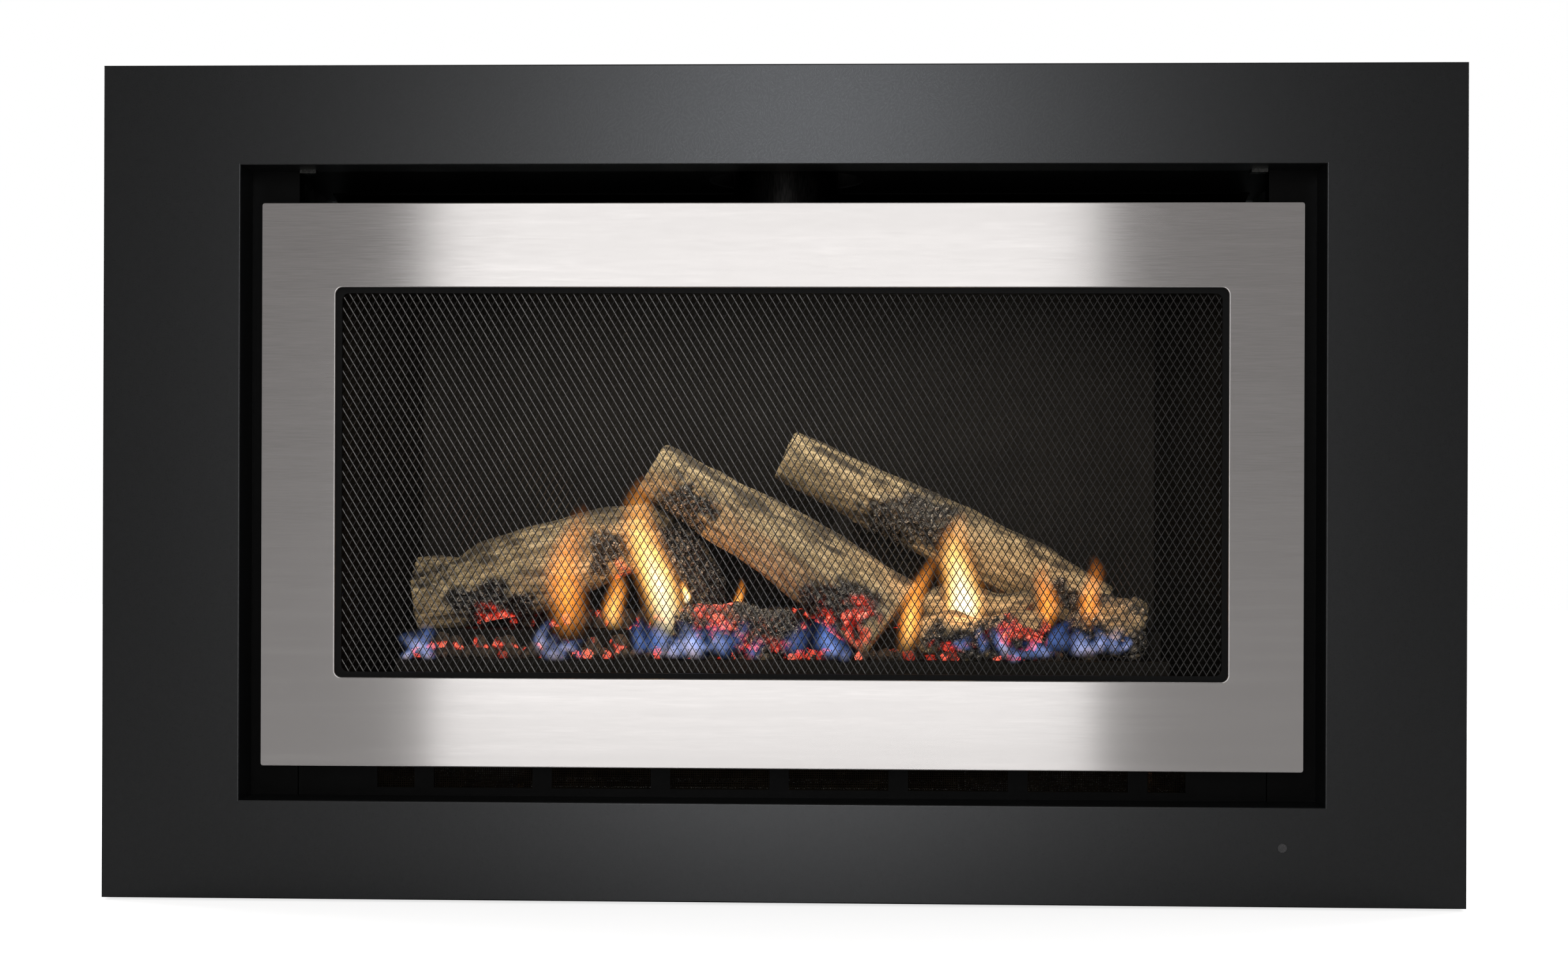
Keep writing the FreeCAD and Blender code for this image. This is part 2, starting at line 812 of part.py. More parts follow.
bark_shares = (1.0, 0.93, 1.03, 0.97, 0.9, 1.02, 0.95, 1.04, 0.92, 1.0, 0.96, 1.03)


def ring(point, along, radius, turn):
    """Closed polygon of uneven bark, square to the log's spine."""
    across = along.cross(AXIS_Y).normalize()
    up = across.cross(along).normalize()
    points = []
    for i in range(log_sides):
        angle = 2 * math.pi * i / log_sides
        reach = radius * bark_shares[(i + turn) % len(bark_shares)]
        points.append(point + across * (reach * math.cos(angle)) + up * (reach * math.sin(angle)))
    return Part.makePolygon(points + points[:1])


def log_spine(shares):
    """Points of the log's middle line, each with the log's radius there."""
    spine = []
    for x, y, z, r in shares:
        point = V(x * tray_half_width, tray_front_y + y * tray_depth, tray_low_top + z * pile_height)
        spine.append((point, r * log_radius))
    return spine


def log_solid(shares, bed):
    """Faceted log along its spine, cut flat where it stands on the bed."""
    spine = log_spine(shares)
    last = len(spine) - 1
    rings = []
    for i, (point, radius) in enumerate(spine):
        along = spine[min(i + 1, last)][0] - spine[max(i - 1, 0)][0]
        rings.append(ring(point, along.normalize(), radius, i))
    body = Part.makeLoft(rings, True, True)
    step_y = tray_front_y + tray_front_ledge
    under = box(-fascia_half, fascia_half, front_y, rear_y, 0, bed)
    step = box(-fascia_half, fascia_half, step_y, rear_y, 0, tray_high_top)
    return body.cut(under).cut(step)


def make_logs():
    """Logs in the order they are laid: each later one is saddled on those before it."""
    left = join([log_solid(left_log_shares, tray_high_top), log_solid(left_branch_shares, tray_high_top)])
    right = log_solid(right_log_shares, tray_high_top)
    middle = log_solid(middle_log_shares, tray_low_top).cut(left).cut(right)
    small = []
    for shares, bed in ((front_centre_log_shares, tray_low_top), (front_right_log_shares, tray_low_top),
                        (stub_log_shares, tray_low_top), (back_right_log_shares, tray_high_top)):
        piece = log_solid(shares, bed)
        for other in [left, right, middle] + small:
            piece = piece.cut(other)
        small.append(piece)
    return left, right, middle, small


def stand_base():
    return V(stand_share * tray_half_width, tray_front_y + right_log_shares[0][1] * tray_depth, tray_high_top)


def log_stand(right):
    """Post under the raised end of the right log, its top shaped to the log."""
    base = stand_base()
    post = box(base.x - stand_width / 2, base.x + stand_width / 2, base.y - stand_thickness / 2,
               base.y + stand_thickness / 2, base.z, base.z + stand_reach)
    return post.cut(right)


def coal(place, radius, height, turn):
    """Lump with a flat underside and a smaller, twisted top."""
    wires = []
    for rise_share, width_share in coal_ring_shares:
        points = []
        for i in range(coal_sides):
            angle = turn * (1 + rise_share) + 2 * math.pi * i / coal_sides
            reach = radius * width_share * bark_shares[i]
            points.append(place + V(reach * math.cos(angle), reach * math.sin(angle), height * rise_share))
        wires.append(Part.makePolygon(points + points[:1]))
    return Part.makeLoft(wires, True, True)


def clear_of(place, reach, spine):
    """True if a ball of that reach at the place stays off the log or post along the spine."""
    for (start, radius_a), (end, radius_b) in zip(spine, spine[1:]):
        run = end - start
        share = min(max((place - start).dot(run) / run.dot(run), 0.0), 1.0)
        gap = (place - (start + run * share)).Length
        if gap < reach + max(radius_a, radius_b) * max(bark_shares) + coal_clearance:
            return False
    return True


def coal_obstacles():
    """Spines of the logs, of the stand and of the electrodes."""
    posts = [(stand_base(), stand_width, stand_reach)]
    posts += [(place, insulator_radius, insulator_height) for place in electrode_places()]
    upright = [[(base, radius), (base + AXIS_Z * height, radius)] for base, radius, height in posts]
    return [log_spine(shares) for shares in all_log_shares] + upright


def ember_coals():
    """Coals on both ledges of the tray, left out where a log or a post stands."""
    chance = random.Random(11)
    obstacles = coal_obstacles()
    coals = []
    columns = int((2 * tray_half_width - 2 * coal_radius) // coal_pitch)
    rows = int((tray_depth - 2 * coal_radius) // coal_pitch)
    step_y = tray_front_y + tray_front_ledge
    for row in range(rows):
        for column in range(columns):
            x = -tray_half_width + coal_radius + (column + 0.5 + 0.5 * (row % 2)) * coal_pitch
            y = tray_front_y + coal_radius + (row + 0.5) * coal_pitch
            x += chance.uniform(-coal_jitter, coal_jitter)
            y += chance.uniform(-coal_jitter, coal_jitter)
            radius = coal_radius * chance.uniform(*coal_radius_shares)
            height = coal_height * chance.uniform(*coal_height_shares)
            turn = chance.uniform(0, math.pi)
            place = V(x, y, tray_low_top if y < step_y else tray_high_top)
            middle = place + AXIS_Z * (height / 2)
            reach = max(radius, height / 2) * max(bark_shares)
            on_step = abs(y - step_y) < coal_radius
            if not on_step and all(clear_of(middle, reach, spine) for spine in obstacles):
                coals.append(coal(place, radius, height, turn))
    return group(coals)


# Gas train


def feed_hole(height):
    return rod(feed_radius + hole_clearance, V(feed_x, valve_mid_y, height - cut_overrun), AXIS_Z,
               firebox_sheet + 2 * cut_overrun)


def coil_places():
    return [V(valve_left + share * valve_length, valve_mid_y, valve_top) for share in coil_x_shares]


def gas_valve_body():
    body = box(valve_left, valve_right, valve_y, valve_y + valve_depth, casing_sheet, valve_top)
    bores = [rod(plunger_radius + plunger_clearance, place - AXIS_Z * plunger_seat_depth, AXIS_Z,
                 plunger_seat_depth + cut_overrun) for place in coil_places()]
    return body.cut(group(bores))


def valve_coils():
    coils = []
    for place in coil_places():
        bore = rod(plunger_radius + plunger_clearance, place - AXIS_Z * cut_overrun, AXIS_Z,
                   coil_height - coil_cap + cut_overrun)
        coils.append(rod(coil_radius, place, AXIS_Z, coil_height).cut(bore))
    return group(coils)


def plunger(number):
    return rod(plunger_radius, coil_places()[number] - AXIS_Z * plunger_seat_depth, AXIS_Z, plunger_length)


def gas_inlet_fitting():
    height = casing_sheet + inlet_height
    stem = rod(inlet_thread_radius, V(valve_right, valve_mid_y, height), AXIS_X,
               casing_sheet + inlet_nut_width + inlet_thread_length)
    corners = [V(casing_half, valve_mid_y + inlet_nut_radius * math.cos(i * math.pi / 3),
                 height + inlet_nut_radius * math.sin(i * math.pi / 3)) for i in range(6)]
    nut = Part.Face(Part.makePolygon(corners + corners[:1])).extrude(AXIS_X * inlet_nut_width)
    return join([stem, nut])


def gas_feed_pipe():
    return tube(feed_radius, feed_radius - feed_wall, V(feed_x, valve_mid_y, valve_top), AXIS_Z,
                tray_base - valve_top)


# Convection fan


def scroll_left():
    return -fan_left - fan_end_gap - scroll_sheet


def scroll_right():
    return fan_right + fan_end_gap


def fan_scroll():
    """End plates that stand on the base, and the curved sheet round the lower rear of the impeller."""
    inner = fan_radius + scroll_gap
    span = scroll_right() - scroll_left() + scroll_sheet
    start = V(scroll_left(), fan_y, fan_height)
    curve = tube(inner + scroll_sheet, inner, start, AXIS_X, span)
    half = inner + scroll_sheet
    keep = [box(start.x, start.x + span, fan_y - half, fan_y + half, fan_height - half, fan_height),
            box(start.x, start.x + span, fan_y, fan_y + half, fan_height - half, fan_height + half)]
    curve = curve.common(join(keep))
    plates = [box(x, x + scroll_sheet, fan_y - scroll_plate_half, fan_y + scroll_plate_half, casing_sheet,
                  fan_height + scroll_plate_half) for x in (scroll_left(), scroll_right())]
    hole = rod(bearing_radius, V(start.x - cut_overrun, fan_y, fan_height), AXIS_X, span + 2 * cut_overrun)
    return join(plates + [curve]).cut(hole)


def fan_impeller():
    discs = [rod(fan_radius, V(x, fan_y, fan_height), AXIS_X, fan_disc)
             for x in (-fan_left, (fan_right - fan_left - fan_disc) / 2, fan_right - fan_disc)]
    blades = []
    for i in range(fan_blades):
        tip = fan_height + fan_radius - fan_disc / 2
        blade = box(-fan_left, fan_right, fan_y - fan_blade_thickness / 2, fan_y + fan_blade_thickness / 2,
                    tip - fan_blade_depth, tip)
        blades.append(blade.rotate(V(0, fan_y, fan_height), AXIS_X, 360.0 * i / fan_blades))
    bore = rod(shaft_radius, V(-fan_left - cut_overrun, fan_y, fan_height), AXIS_X,
               fan_left + fan_right + 2 * cut_overrun)
    return join(discs + blades).cut(bore)


def fan_shaft():
    left = scroll_left() - bearing_flange_thickness - bearing_width + shaft_end_gap
    right = scroll_right() + scroll_sheet + motor_bore_depth - shaft_end_gap
    return rod(shaft_radius, V(left, fan_y, fan_height), AXIS_X, right - left)


def fan_bearing():
    """Flanged bush in the left end plate, open at both ends for the shaft."""
    inside = scroll_left() + scroll_sheet
    sleeve = rod(bearing_radius, V(inside - bearing_width, fan_y, fan_height), AXIS_X, bearing_width)
    flange_x = scroll_left() - bearing_flange_thickness
    flange = rod(bearing_radius + bearing_flange, V(flange_x, fan_y, fan_height), AXIS_X,
                 bearing_flange_thickness)
    bore = rod(shaft_radius + shaft_clearance, V(inside - bearing_width - cut_overrun, fan_y, fan_height),
               AXIS_X, bearing_width + 2 * cut_overrun)
    return join([sleeve, flange]).cut(bore)


def fan_motor():
    start = V(scroll_right() + scroll_sheet, fan_y, fan_height)
    boss = rod(bearing_radius, start - AXIS_X * scroll_sheet, AXIS_X, scroll_sheet)
    body = rod(motor_radius, start, AXIS_X, motor_length)
    bore = rod(shaft_radius + shaft_clearance, start - AXIS_X * cut_overrun, AXIS_X,
               motor_bore_depth + cut_overrun)
    return join([boss, body]).cut(bore)


# Controls


def standoff_places():
    inset = box_sheet + standoff_inset
    return [V(x, y, casing_sheet + box_sheet) for x in (-box_left + inset, -box_left + box_width - inset)
            for y in (box_y + inset, box_y + box_depth - inset)]


def control_box():
    sheet = box_sheet
    right = -box_left + box_width
    block = box(-box_left, right, box_y, box_y + box_depth, casing_sheet, casing_sheet + box_height)
    hollow = box(-box_left + sheet, right - sheet, box_y + sheet, box_y + box_depth - sheet,
                 casing_sheet + sheet, casing_sheet + box_height - sheet)
    feet = [rod(standoff_radius, place, AXIS_Z, standoff_height) for place in standoff_places()]
    lead_hole = rod(gland_bore + hole_clearance, V(-box_left - cut_overrun, gland_y, gland_height), AXIS_X,
                    sheet + 2 * cut_overrun)
    return join([block.cut(hollow)] + feet).cut(lead_hole)


def control_board():
    low = casing_sheet + box_sheet + standoff_height
    inset = box_sheet + board_inset
    x0 = -box_left + inset
    y0 = box_y + inset
    sheet = box(x0, -box_left + box_width - inset, y0, box_y + box_depth - inset, low, low + board_thickness)
    top = low + board_thickness
    relays = []
    for i in range(relay_count):
        x = x0 + i * 2 * relay_size
        relays.append(box(x, x + relay_size, y0, y0 + relay_size, top, top + relay_size))
    return join([sheet] + relays)


def cable_gland():
    start = V(-casing_half - gland_length, gland_y, gland_height)
    length = gland_length + casing_half - box_left
    body = rod(gland_radius, start, AXIS_X, length)
    nut_start = V(-casing_half - gland_nut_width, gland_y, gland_height)
    nut = rod(gland_nut_radius, nut_start, AXIS_X, gland_nut_width)
    bore = rod(gland_bore, start - AXIS_X * cut_overrun, AXIS_X, length + 2 * cut_overrun)
    return join([body, nut]).cut(bore)


def build():
    left, right, middle, small = make_logs()
    parts = {
        "fascia_panel": fascia_panel(), "fascia_clips": fascia_clips(),
        "receiver_lens": receiver_lens(), "receiver_housing": receiver_housing(),
        "dress_frame": dress_frame(), "mesh_hem": mesh_hem(), "guard_mesh": guard_mesh(),
        "guard_pins": guard_pins(), "guard_bushes": guard_bushes(),
        "base_pan": base_pan(), "casing_left": casing_left(), "casing_right": casing_right(),
        "casing_back": casing_back(), "casing_top": casing_top(), "casing_screws": casing_screws(),
        "front_post_left": front_post_left(), "front_post_right": front_post_right(),
        "shelf_plate": shelf_plate(), "outlet_deflector": outlet_deflector(),
        "intake_grille": intake_grille(), "intake_mesh": intake_mesh(),
        "firebox_floor": firebox_floor(), "firebox_back": firebox_back(),
        "firebox_left_wall": firebox_left_wall(), "firebox_right_wall": firebox_right_wall(),
        "firebox_roof": firebox_roof(), "firebox_front_frame": firebox_front_frame(),
        "glass_gasket": glass_gasket(), "glass_panel": glass_panel(), "glass_retainer": glass_retainer(),
        "throat_gasket": throat_gasket(), "flue_inner_pipe": flue_inner_pipe(), "flue_collar": flue_collar(),
        "burner_tray": burner_tray(), "burner_tubes": burner_tubes(), "gas_manifold": gas_manifold(),
        "injectors": injectors(), "electrodes": electrodes(), "electrode_insulators": electrode_insulators(),
        "log_left": left, "log_right": right, "log_middle": middle, "small_logs": group(small),
        "log_stand": log_stand(right), "ember_coals": ember_coals(),
        "gas_valve_body": gas_valve_body(), "valve_coils": valve_coils(),
        "shutoff_plunger": plunger(0), "modulating_plunger": plunger(1),
        "gas_inlet_fitting": gas_inlet_fitting(), "gas_feed_pipe": gas_feed_pipe(),
        "fan_scroll": fan_scroll(), "fan_impeller": fan_impeller(), "fan_shaft": fan_shaft(),
        "fan_bearing": fan_bearing(), "fan_motor": fan_motor(),
        "control_box": control_box(), "control_board": control_board(), "cable_gland": cable_gland(),
    }
    os.makedirs("parts", exist_ok=True)
    for name, shape in parts.items():
        shape.exportStep("parts/" + name + ".step")


build()
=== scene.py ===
import json
import math
import random

import bmesh
import bpy
import numpy as np
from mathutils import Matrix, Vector, noise


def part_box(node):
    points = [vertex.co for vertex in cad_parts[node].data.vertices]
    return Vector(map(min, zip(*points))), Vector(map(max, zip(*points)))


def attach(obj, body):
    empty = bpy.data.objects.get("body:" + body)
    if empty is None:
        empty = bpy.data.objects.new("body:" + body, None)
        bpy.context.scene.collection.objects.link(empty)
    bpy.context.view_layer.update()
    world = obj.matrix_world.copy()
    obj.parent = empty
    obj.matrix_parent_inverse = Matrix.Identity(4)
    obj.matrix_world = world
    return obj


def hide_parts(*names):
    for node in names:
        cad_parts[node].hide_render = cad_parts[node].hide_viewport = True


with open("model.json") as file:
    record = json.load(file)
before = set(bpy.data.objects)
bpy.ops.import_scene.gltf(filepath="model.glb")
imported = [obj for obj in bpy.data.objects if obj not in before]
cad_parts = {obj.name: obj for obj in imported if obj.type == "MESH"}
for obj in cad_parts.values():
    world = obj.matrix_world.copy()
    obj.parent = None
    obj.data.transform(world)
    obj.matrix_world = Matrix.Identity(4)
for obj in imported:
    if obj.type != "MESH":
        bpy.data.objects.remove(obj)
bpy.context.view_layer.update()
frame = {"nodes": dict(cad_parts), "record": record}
nodes = frame["nodes"]
HEATER = "heater"
GUARD = "dress_guard"

mesh_low, mesh_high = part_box("guard_mesh")
coal_low, coal_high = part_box("ember_coals")
tray_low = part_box("burner_tray")[0]
LEDGE_Z = coal_low.z
NOISE_SEED = 11


# Shaders

PLAIN = (1, 1, 1)  # no stretch along any axis
UNIT_RANGE = (0.0, 1.0)
NOISE_RANGE = (0.3, 0.7)  # where nearly all values of a noise texture lie
MIDDLE_GRAIN = 3.0  # times coarser than a finish's fine grain
BROAD_GRAIN = 12.0


class Shader:
    """A node material with its Principled shader and short ways to add nodes."""

    def __init__(self, name, **values):
        self.material = bpy.data.materials.new(name)
        self.material.use_nodes = True
        tree = self.material.node_tree
        self.nodes = tree.nodes
        self.links = tree.links
        self.bsdf = tree.nodes["Principled BSDF"]
        for socket, value in values.items():
            self.bsdf.inputs[socket.replace("_", " ")].default_value = value

    def add(self, kind, **values):
        node = self.nodes.new("ShaderNode" + kind)
        for key, value in values.items():
            setattr(node, key, value)
        return node

    def link(self, source, target):
        self.links.new(source, target)

    def place(self, stretch=PLAIN, shift=(0, 0, 0)):
        """The object's own coordinates in metres, multiplied along each axis and then moved."""
        where = self.add("TexCoord")
        mapping = self.add("Mapping")
        mapping.inputs["Location"].default_value = shift
        mapping.inputs["Scale"].default_value = stretch
        self.link(where.outputs["Object"], mapping.inputs["Vector"])
        return mapping.outputs["Vector"]

    def noise(self, vector, scale, detail=3.0, rough=0.55):
        node = self.add("TexNoise")
        node.inputs["Scale"].default_value = scale
        node.inputs["Detail"].default_value = detail
        node.inputs["Roughness"].default_value = rough
        self.link(vector, node.inputs["Vector"])
        return node.outputs["Fac"]

    def cells(self, vector, scale, feature="F1"):
        node = self.add("TexVoronoi", feature=feature)
        node.inputs["Scale"].default_value = scale
        self.link(vector, node.inputs["Vector"])
        return node

    def ramp(self, fac, stops):
        node = self.add("ValToRGB")
        ramp = node.color_ramp
        while len(ramp.elements) < len(stops):
            ramp.elements.new(0.5)
        for element, (position, colour) in zip(ramp.elements, stops):
            element.position = position
            element.color = (*colour, 1.0)
        self.link(fac, node.inputs["Fac"])
        return node.outputs["Color"]

    def map_range(self, value, given, wanted, smooth=False):
        node = self.add("MapRange", interpolation_type="SMOOTHSTEP" if smooth else "LINEAR")
        for name, limits in (("From", given), ("To", wanted)):
            node.inputs[name + " Min"].default_value = limits[0]
            node.inputs[name + " Max"].default_value = limits[1]
        self.link(value, node.inputs["Value"])
        return node.outputs["Result"]

    def spread(self, fac, low, high):
        """A noise texture's usual values spread from low to high."""
        return self.map_range(fac, NOISE_RANGE, (low, high))

    def combine(self, operation, first, second):
        """Two values, each a socket or a plain number, put together by one Math node."""
        node = self.add("Math", operation=operation)
        for socket, value in zip(node.inputs, (first, second)):
            if isinstance(value, float):
                socket.default_value = value
            else:
                self.link(value, socket)
        return node.outputs[0]

    def length(self, vector):
        node = self.add("VectorMath", operation="LENGTH")
        self.link(vector, node.inputs[0])
        return node.outputs["Value"]

    def mix(self, fac, first, second):
        node = self.add("Mix", data_type="RGBA")
        self.link(fac, node.inputs["Factor"])
        self.link(first, node.inputs["A"])
        self.link(second, node.inputs["B"])
        return node.outputs["Result"]

    def attribute(self, name, output="Fac"):
        return self.add("Attribute", attribute_name=name).outputs[output]

    def bump(self, height, distance, strength=1.0):
        node = self.add("Bump")
        node.inputs["Distance"].default_value = distance
        node.inputs["Strength"].default_value = strength
        self.link(height, node.inputs["Height"])
        self.link(node.outputs["Normal"], self.bsdf.inputs["Normal"])

    def feed(self, socket, output):
        self.link(output, self.bsdf.inputs[socket])

    def colour(self, output):
        self.feed("Base Color", output)

    def roughness(self, output):
        self.feed("Roughness", output)


# Finishes


def grained(name, dark, light, rough, grain, stretch=PLAIN, bump=0.0, **values):
    """Two tones and a range of roughness, spread by a grain of that scale per metre."""
    shader = Shader(name, **values)
    vector = shader.place(stretch)
    fine = shader.noise(vector, grain)
    broad = shader.noise(vector, grain / BROAD_GRAIN)
    middle = shader.noise(vector, grain / MIDDLE_GRAIN)
    shader.colour(shader.ramp(shader.mix(middle, fine, broad), [(0.35, dark), (0.65, light)]))
    shader.roughness(shader.spread(fine, *rough))
    if bump:
        shader.bump(fine, bump)
    return shader.material


BRUSH_STRETCH = (22.0, 700.0, 700.0)  # the brush runs along x
BRUSH_DEPTH = 0.00001


def brushed_stainless():
    shader = Shader("brushed_stainless", Metallic=1.0, Anisotropic=1.0, Anisotropic_Rotation=0.25)
    fine = shader.noise(shader.place(BRUSH_STRETCH), 1.6, 4.0)
    broad = shader.noise(shader.place((2.0, 60.0, 60.0)), 2.0, 2.0)
    tones = [(0.3, (0.622, 0.60, 0.59)), (0.7, (0.695, 0.67, 0.66))]
    shader.colour(shader.ramp(shader.mix(broad, fine, broad), tones))
    shader.roughness(shader.spread(fine, 0.20, 0.25))
    shader.bump(fine, BRUSH_DEPTH, 0.25)
    tangent = shader.add("Tangent", direction_type="RADIAL", axis="Z")
    shader.feed("Tangent", tangent.outputs["Tangent"])
    return shader.material


SPANGLES_PER_METRE = 70.0
SPANGLE_DEPTH = 0.00004


def galvanised_sheet():
    shader = Shader("galvanised_sheet", Metallic=1.0)
    vector = shader.place()
    spangle = shader.cells(vector, SPANGLES_PER_METRE).outputs["Color"]
    shader.colour(shader.ramp(spangle, [(0.1, (0.42, 0.44, 0.45)), (0.9, (0.66, 0.68, 0.69))]))
    shader.roughness(shader.spread(spangle, 0.32, 0.5))
    shader.bump(shader.noise(vector, 260.0), SPANGLE_DEPTH)
    return shader.material


COLLAR_SKIN = 0.0745  # radius between the flue collar's two faces
SLOT_SHADE_FADE = 0.01  # how far above and below the collar's foot the painted shade fades


def flue_steel():
    """Bright spun steel outside and above the casing; inside, near-black painted shade where the pipe is
    seen through the outlet slot.
    """
    shader = Shader("flue_steel", Metallic=1.0)
    collar_low, collar_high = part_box("flue_collar")
    middle = (collar_low + collar_high) / 2
    height = shader.add("SeparateXYZ")
    shader.link(shader.place(), height.inputs["Vector"])
    foot = (collar_low.z - SLOT_SHADE_FADE, collar_low.z + SLOT_SHADE_FADE)
    above = shader.map_range(height.outputs["Z"], foot, UNIT_RANGE, smooth=True)
    radius = shader.length(shader.place((1, 1, 0), (-middle.x, -middle.y, 0)))
    outside = shader.combine("GREATER_THAN", radius, COLLAR_SKIN)
    fine = shader.noise(shader.place((4, 4, 0.3)), 300.0)
    # Painted shade: near-black steel inside the casing and the collar, seen in the outlet slot.
    painted_slot_shade = shader.ramp(fine, [(0.35, (0.016, 0.016, 0.017)), (0.65, (0.045, 0.043, 0.041))])
    bright = shader.ramp(fine, [(0.35, (0.46, 0.46, 0.455)), (0.65, (0.6, 0.6, 0.585))])
    shader.colour(shader.mix(shader.combine("MULTIPLY", above, outside), painted_slot_shade, bright))
    shader.roughness(shader.spread(fine, 0.28, 0.42))
    return shader.material


def fire_glass():
    shader = Shader("fire_glass", Roughness=0.03, Alpha=0.06, Specular_IOR_Level=0.08)
    haze = shader.noise(shader.place(), 9.0, 3.0)
    shader.colour(shader.ramp(haze, [(0.3, (0.02, 0.02, 0.018)), (0.7, (0.05, 0.045, 0.04))]))
    return shader.material


def finishes():
    """One procedural material for each finish slot of the record but the logs' and the coals'."""
    return {
        "fascia_coat": grained(
            "powder_coat", (0.0045, 0.005, 0.0053), (0.0075, 0.0082, 0.0086), (0.26, 0.33), 2600.0,
            bump=0.00003, Specular_IOR_Level=0.4),
        "bright_tab": grained(
            "bright_zinc", (0.05, 0.05, 0.048), (0.09, 0.09, 0.086), (0.22, 0.34), 400.0, Metallic=1.0),
        "lens_plastic": grained(
            "smoked_lens", (0.06, 0.06, 0.062), (0.085, 0.085, 0.088), (0.2, 0.3), 700.0),
        "black_plastic": grained(
            "black_plastic", (0.012, 0.012, 0.012), (0.022, 0.022, 0.022), (0.45, 0.6), 1500.0,
            bump=0.00003),
        "stainless": brushed_stainless(),
        "mesh_steel": grained(
            "mesh_steel", (0.058, 0.056, 0.055), (0.098, 0.095, 0.093), (0.20, 0.28), 900.0, Metallic=1.0),
        # Painted shade: the hem is near-black to stand for the shadow band between the frame's lip and the
        # mesh.
        "hem_black": grained(
            "hem_black", (0.003, 0.003, 0.003), (0.006, 0.006, 0.006), (0.45, 0.6), 900.0,
            Specular_IOR_Level=0.15),
        "zinc_steel": grained(
            "zinc_steel", (0.45, 0.46, 0.45), (0.62, 0.63, 0.62), (0.25, 0.4), 500.0, Metallic=1.0),
        "bronze": grained(
            "bronze", (0.32, 0.2, 0.09), (0.5, 0.34, 0.16), (0.3, 0.45), 900.0, Metallic=1.0),
        # Painted shade: darker than black paint and nearly without sheen, so the engine front and intake
        # grille read as a shadowed recess.
        "engine_black": grained(
            "engine_black", (0.0015, 0.0015, 0.0015), (0.0035, 0.0035, 0.0035), (0.35, 0.5), 900.0,
            bump=0.00002, Specular_IOR_Level=0.08),
        # Painted shade: the brass net is near-black, as the recess behind the intake windows lies in
        # shadow.
        "net_brass": grained(
            "net_wire_painted_shade", (0.003, 0.0025, 0.002), (0.009, 0.007, 0.0045), (0.35, 0.5), 900.0, Metallic=1.0),
        "galvanised": galvanised_sheet(),
        "firebox_black": grained(
            "firebox_black", (0.0016, 0.0016, 0.0017), (0.0042, 0.0042, 0.0042), (0.5, 0.65), 300.0,
            bump=0.00005, Specular_IOR_Level=0.09),
        "fire_glass": fire_glass(),
        "fibre_rope": grained(
            "fibre_rope", (0.5, 0.48, 0.42), (0.75, 0.73, 0.66), (0.8, 0.95), 900.0,
            stretch=(1, 1, 3), bump=0.0004),
        "flue_steel": flue_steel(),
        "burner_steel": grained(
            "burner_steel", (0.2, 0.18, 0.17), (0.36, 0.33, 0.3), (0.35, 0.5), 300.0, Metallic=1.0),
        "yellow_brass": grained(
            "yellow_brass", (0.55, 0.38, 0.14), (0.72, 0.54, 0.24), (0.22, 0.36), 500.0, Metallic=1.0),
        "copper_pipe": grained(
            "copper_pipe", (0.52, 0.24, 0.13), (0.74, 0.4, 0.26), (0.25, 0.4), 260.0, Metallic=1.0),
        "die_cast": grained(
            "die_cast", (0.38, 0.38, 0.385), (0.55, 0.55, 0.55), (0.42, 0.58), 1200.0,
            bump=0.00006, Metallic=1.0),
        "white_ceramic": grained(
            "white_ceramic", (0.72, 0.71, 0.67), (0.86, 0.85, 0.81), (0.1, 0.2), 200.0),
        "fan_aluminium": grained(
            "fan_aluminium", (0.42, 0.42, 0.43), (0.58, 0.58, 0.59), (0.3, 0.45), 400.0,
            stretch=(0.2, 2, 2), Metallic=1.0),
        "box_grey": grained(
            "box_grey", (0.3, 0.31, 0.32), (0.4, 0.41, 0.42), (0.4, 0.52), 1800.0, bump=0.00003),
        "board_green": grained(
            "board_green", (0.02, 0.1, 0.035), (0.05, 0.19, 0.075), (0.3, 0.45), 240.0),
    }


def dress_nodes(materials):
    """Each CAD node in its slot's finish, but the casing's top in satin black."""
    satin = grained(
        "satin_black", (0.011, 0.011, 0.0115), (0.019, 0.019, 0.02), (0.36, 0.5), 900.0,
        bump=0.00003, Specular_IOR_Level=0.45)
    for part in frame["record"]["subparts"]:
        if part["material_slot"] in materials:
            finish = satin if part["node"] == "casing_top" else materials[part["material_slot"]]
            mesh = nodes[part["node"]].data
            mesh.materials.clear()
            mesh.materials.append(finish)


# Pieces


def new_piece(name, verts, faces, body, material, replaces=()):
    mesh = bpy.data.meshes.new(name)
    mesh.from_pydata(verts, [], faces)
    mesh.update()
    return place_piece(name, mesh, body, material, replaces)


def place_piece(name, mesh, body, material, replaces=()):
    mesh.materials.clear()
    mesh.materials.append(material)
    piece = bpy.data.objects.new(name, mesh)
    bpy.context.collection.objects.link(piece)
    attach(piece, body)
    if replaces:
        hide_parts(*replaces)
    return piece


FACET = 0.0017  # size of the even facets of logs and coals


def remeshed(node, smooth):
    """A copy of a CAD node's mesh in small even facets, with its edges worn round."""
    source = bpy.data.objects.new("remesh_source", nodes[node].data.copy())
    bpy.context.collection.objects.link(source)
    remesh = source.modifiers.new("remesh", "REMESH")
    remesh.mode = "VOXEL"
    remesh.voxel_size = FACET
    wear = source.modifiers.new("wear", "SMOOTH")
    wear.iterations = smooth
    bpy.context.view_layer.update()
    made = bpy.data.meshes.new_from_object(source.evaluated_get(bpy.context.evaluated_depsgraph_get()))
    bpy.data.objects.remove(source)
    return made


def write_attribute(mesh, name, values):
    layer = mesh.attributes.new(name, "FLOAT", "POINT")
    layer.data.foreach_set("value", np.asarray(values, dtype=np.float32))


def smooth_shade(mesh):
    mesh.polygons.foreach_set("use_smooth", [True] * len(mesh.polygons))


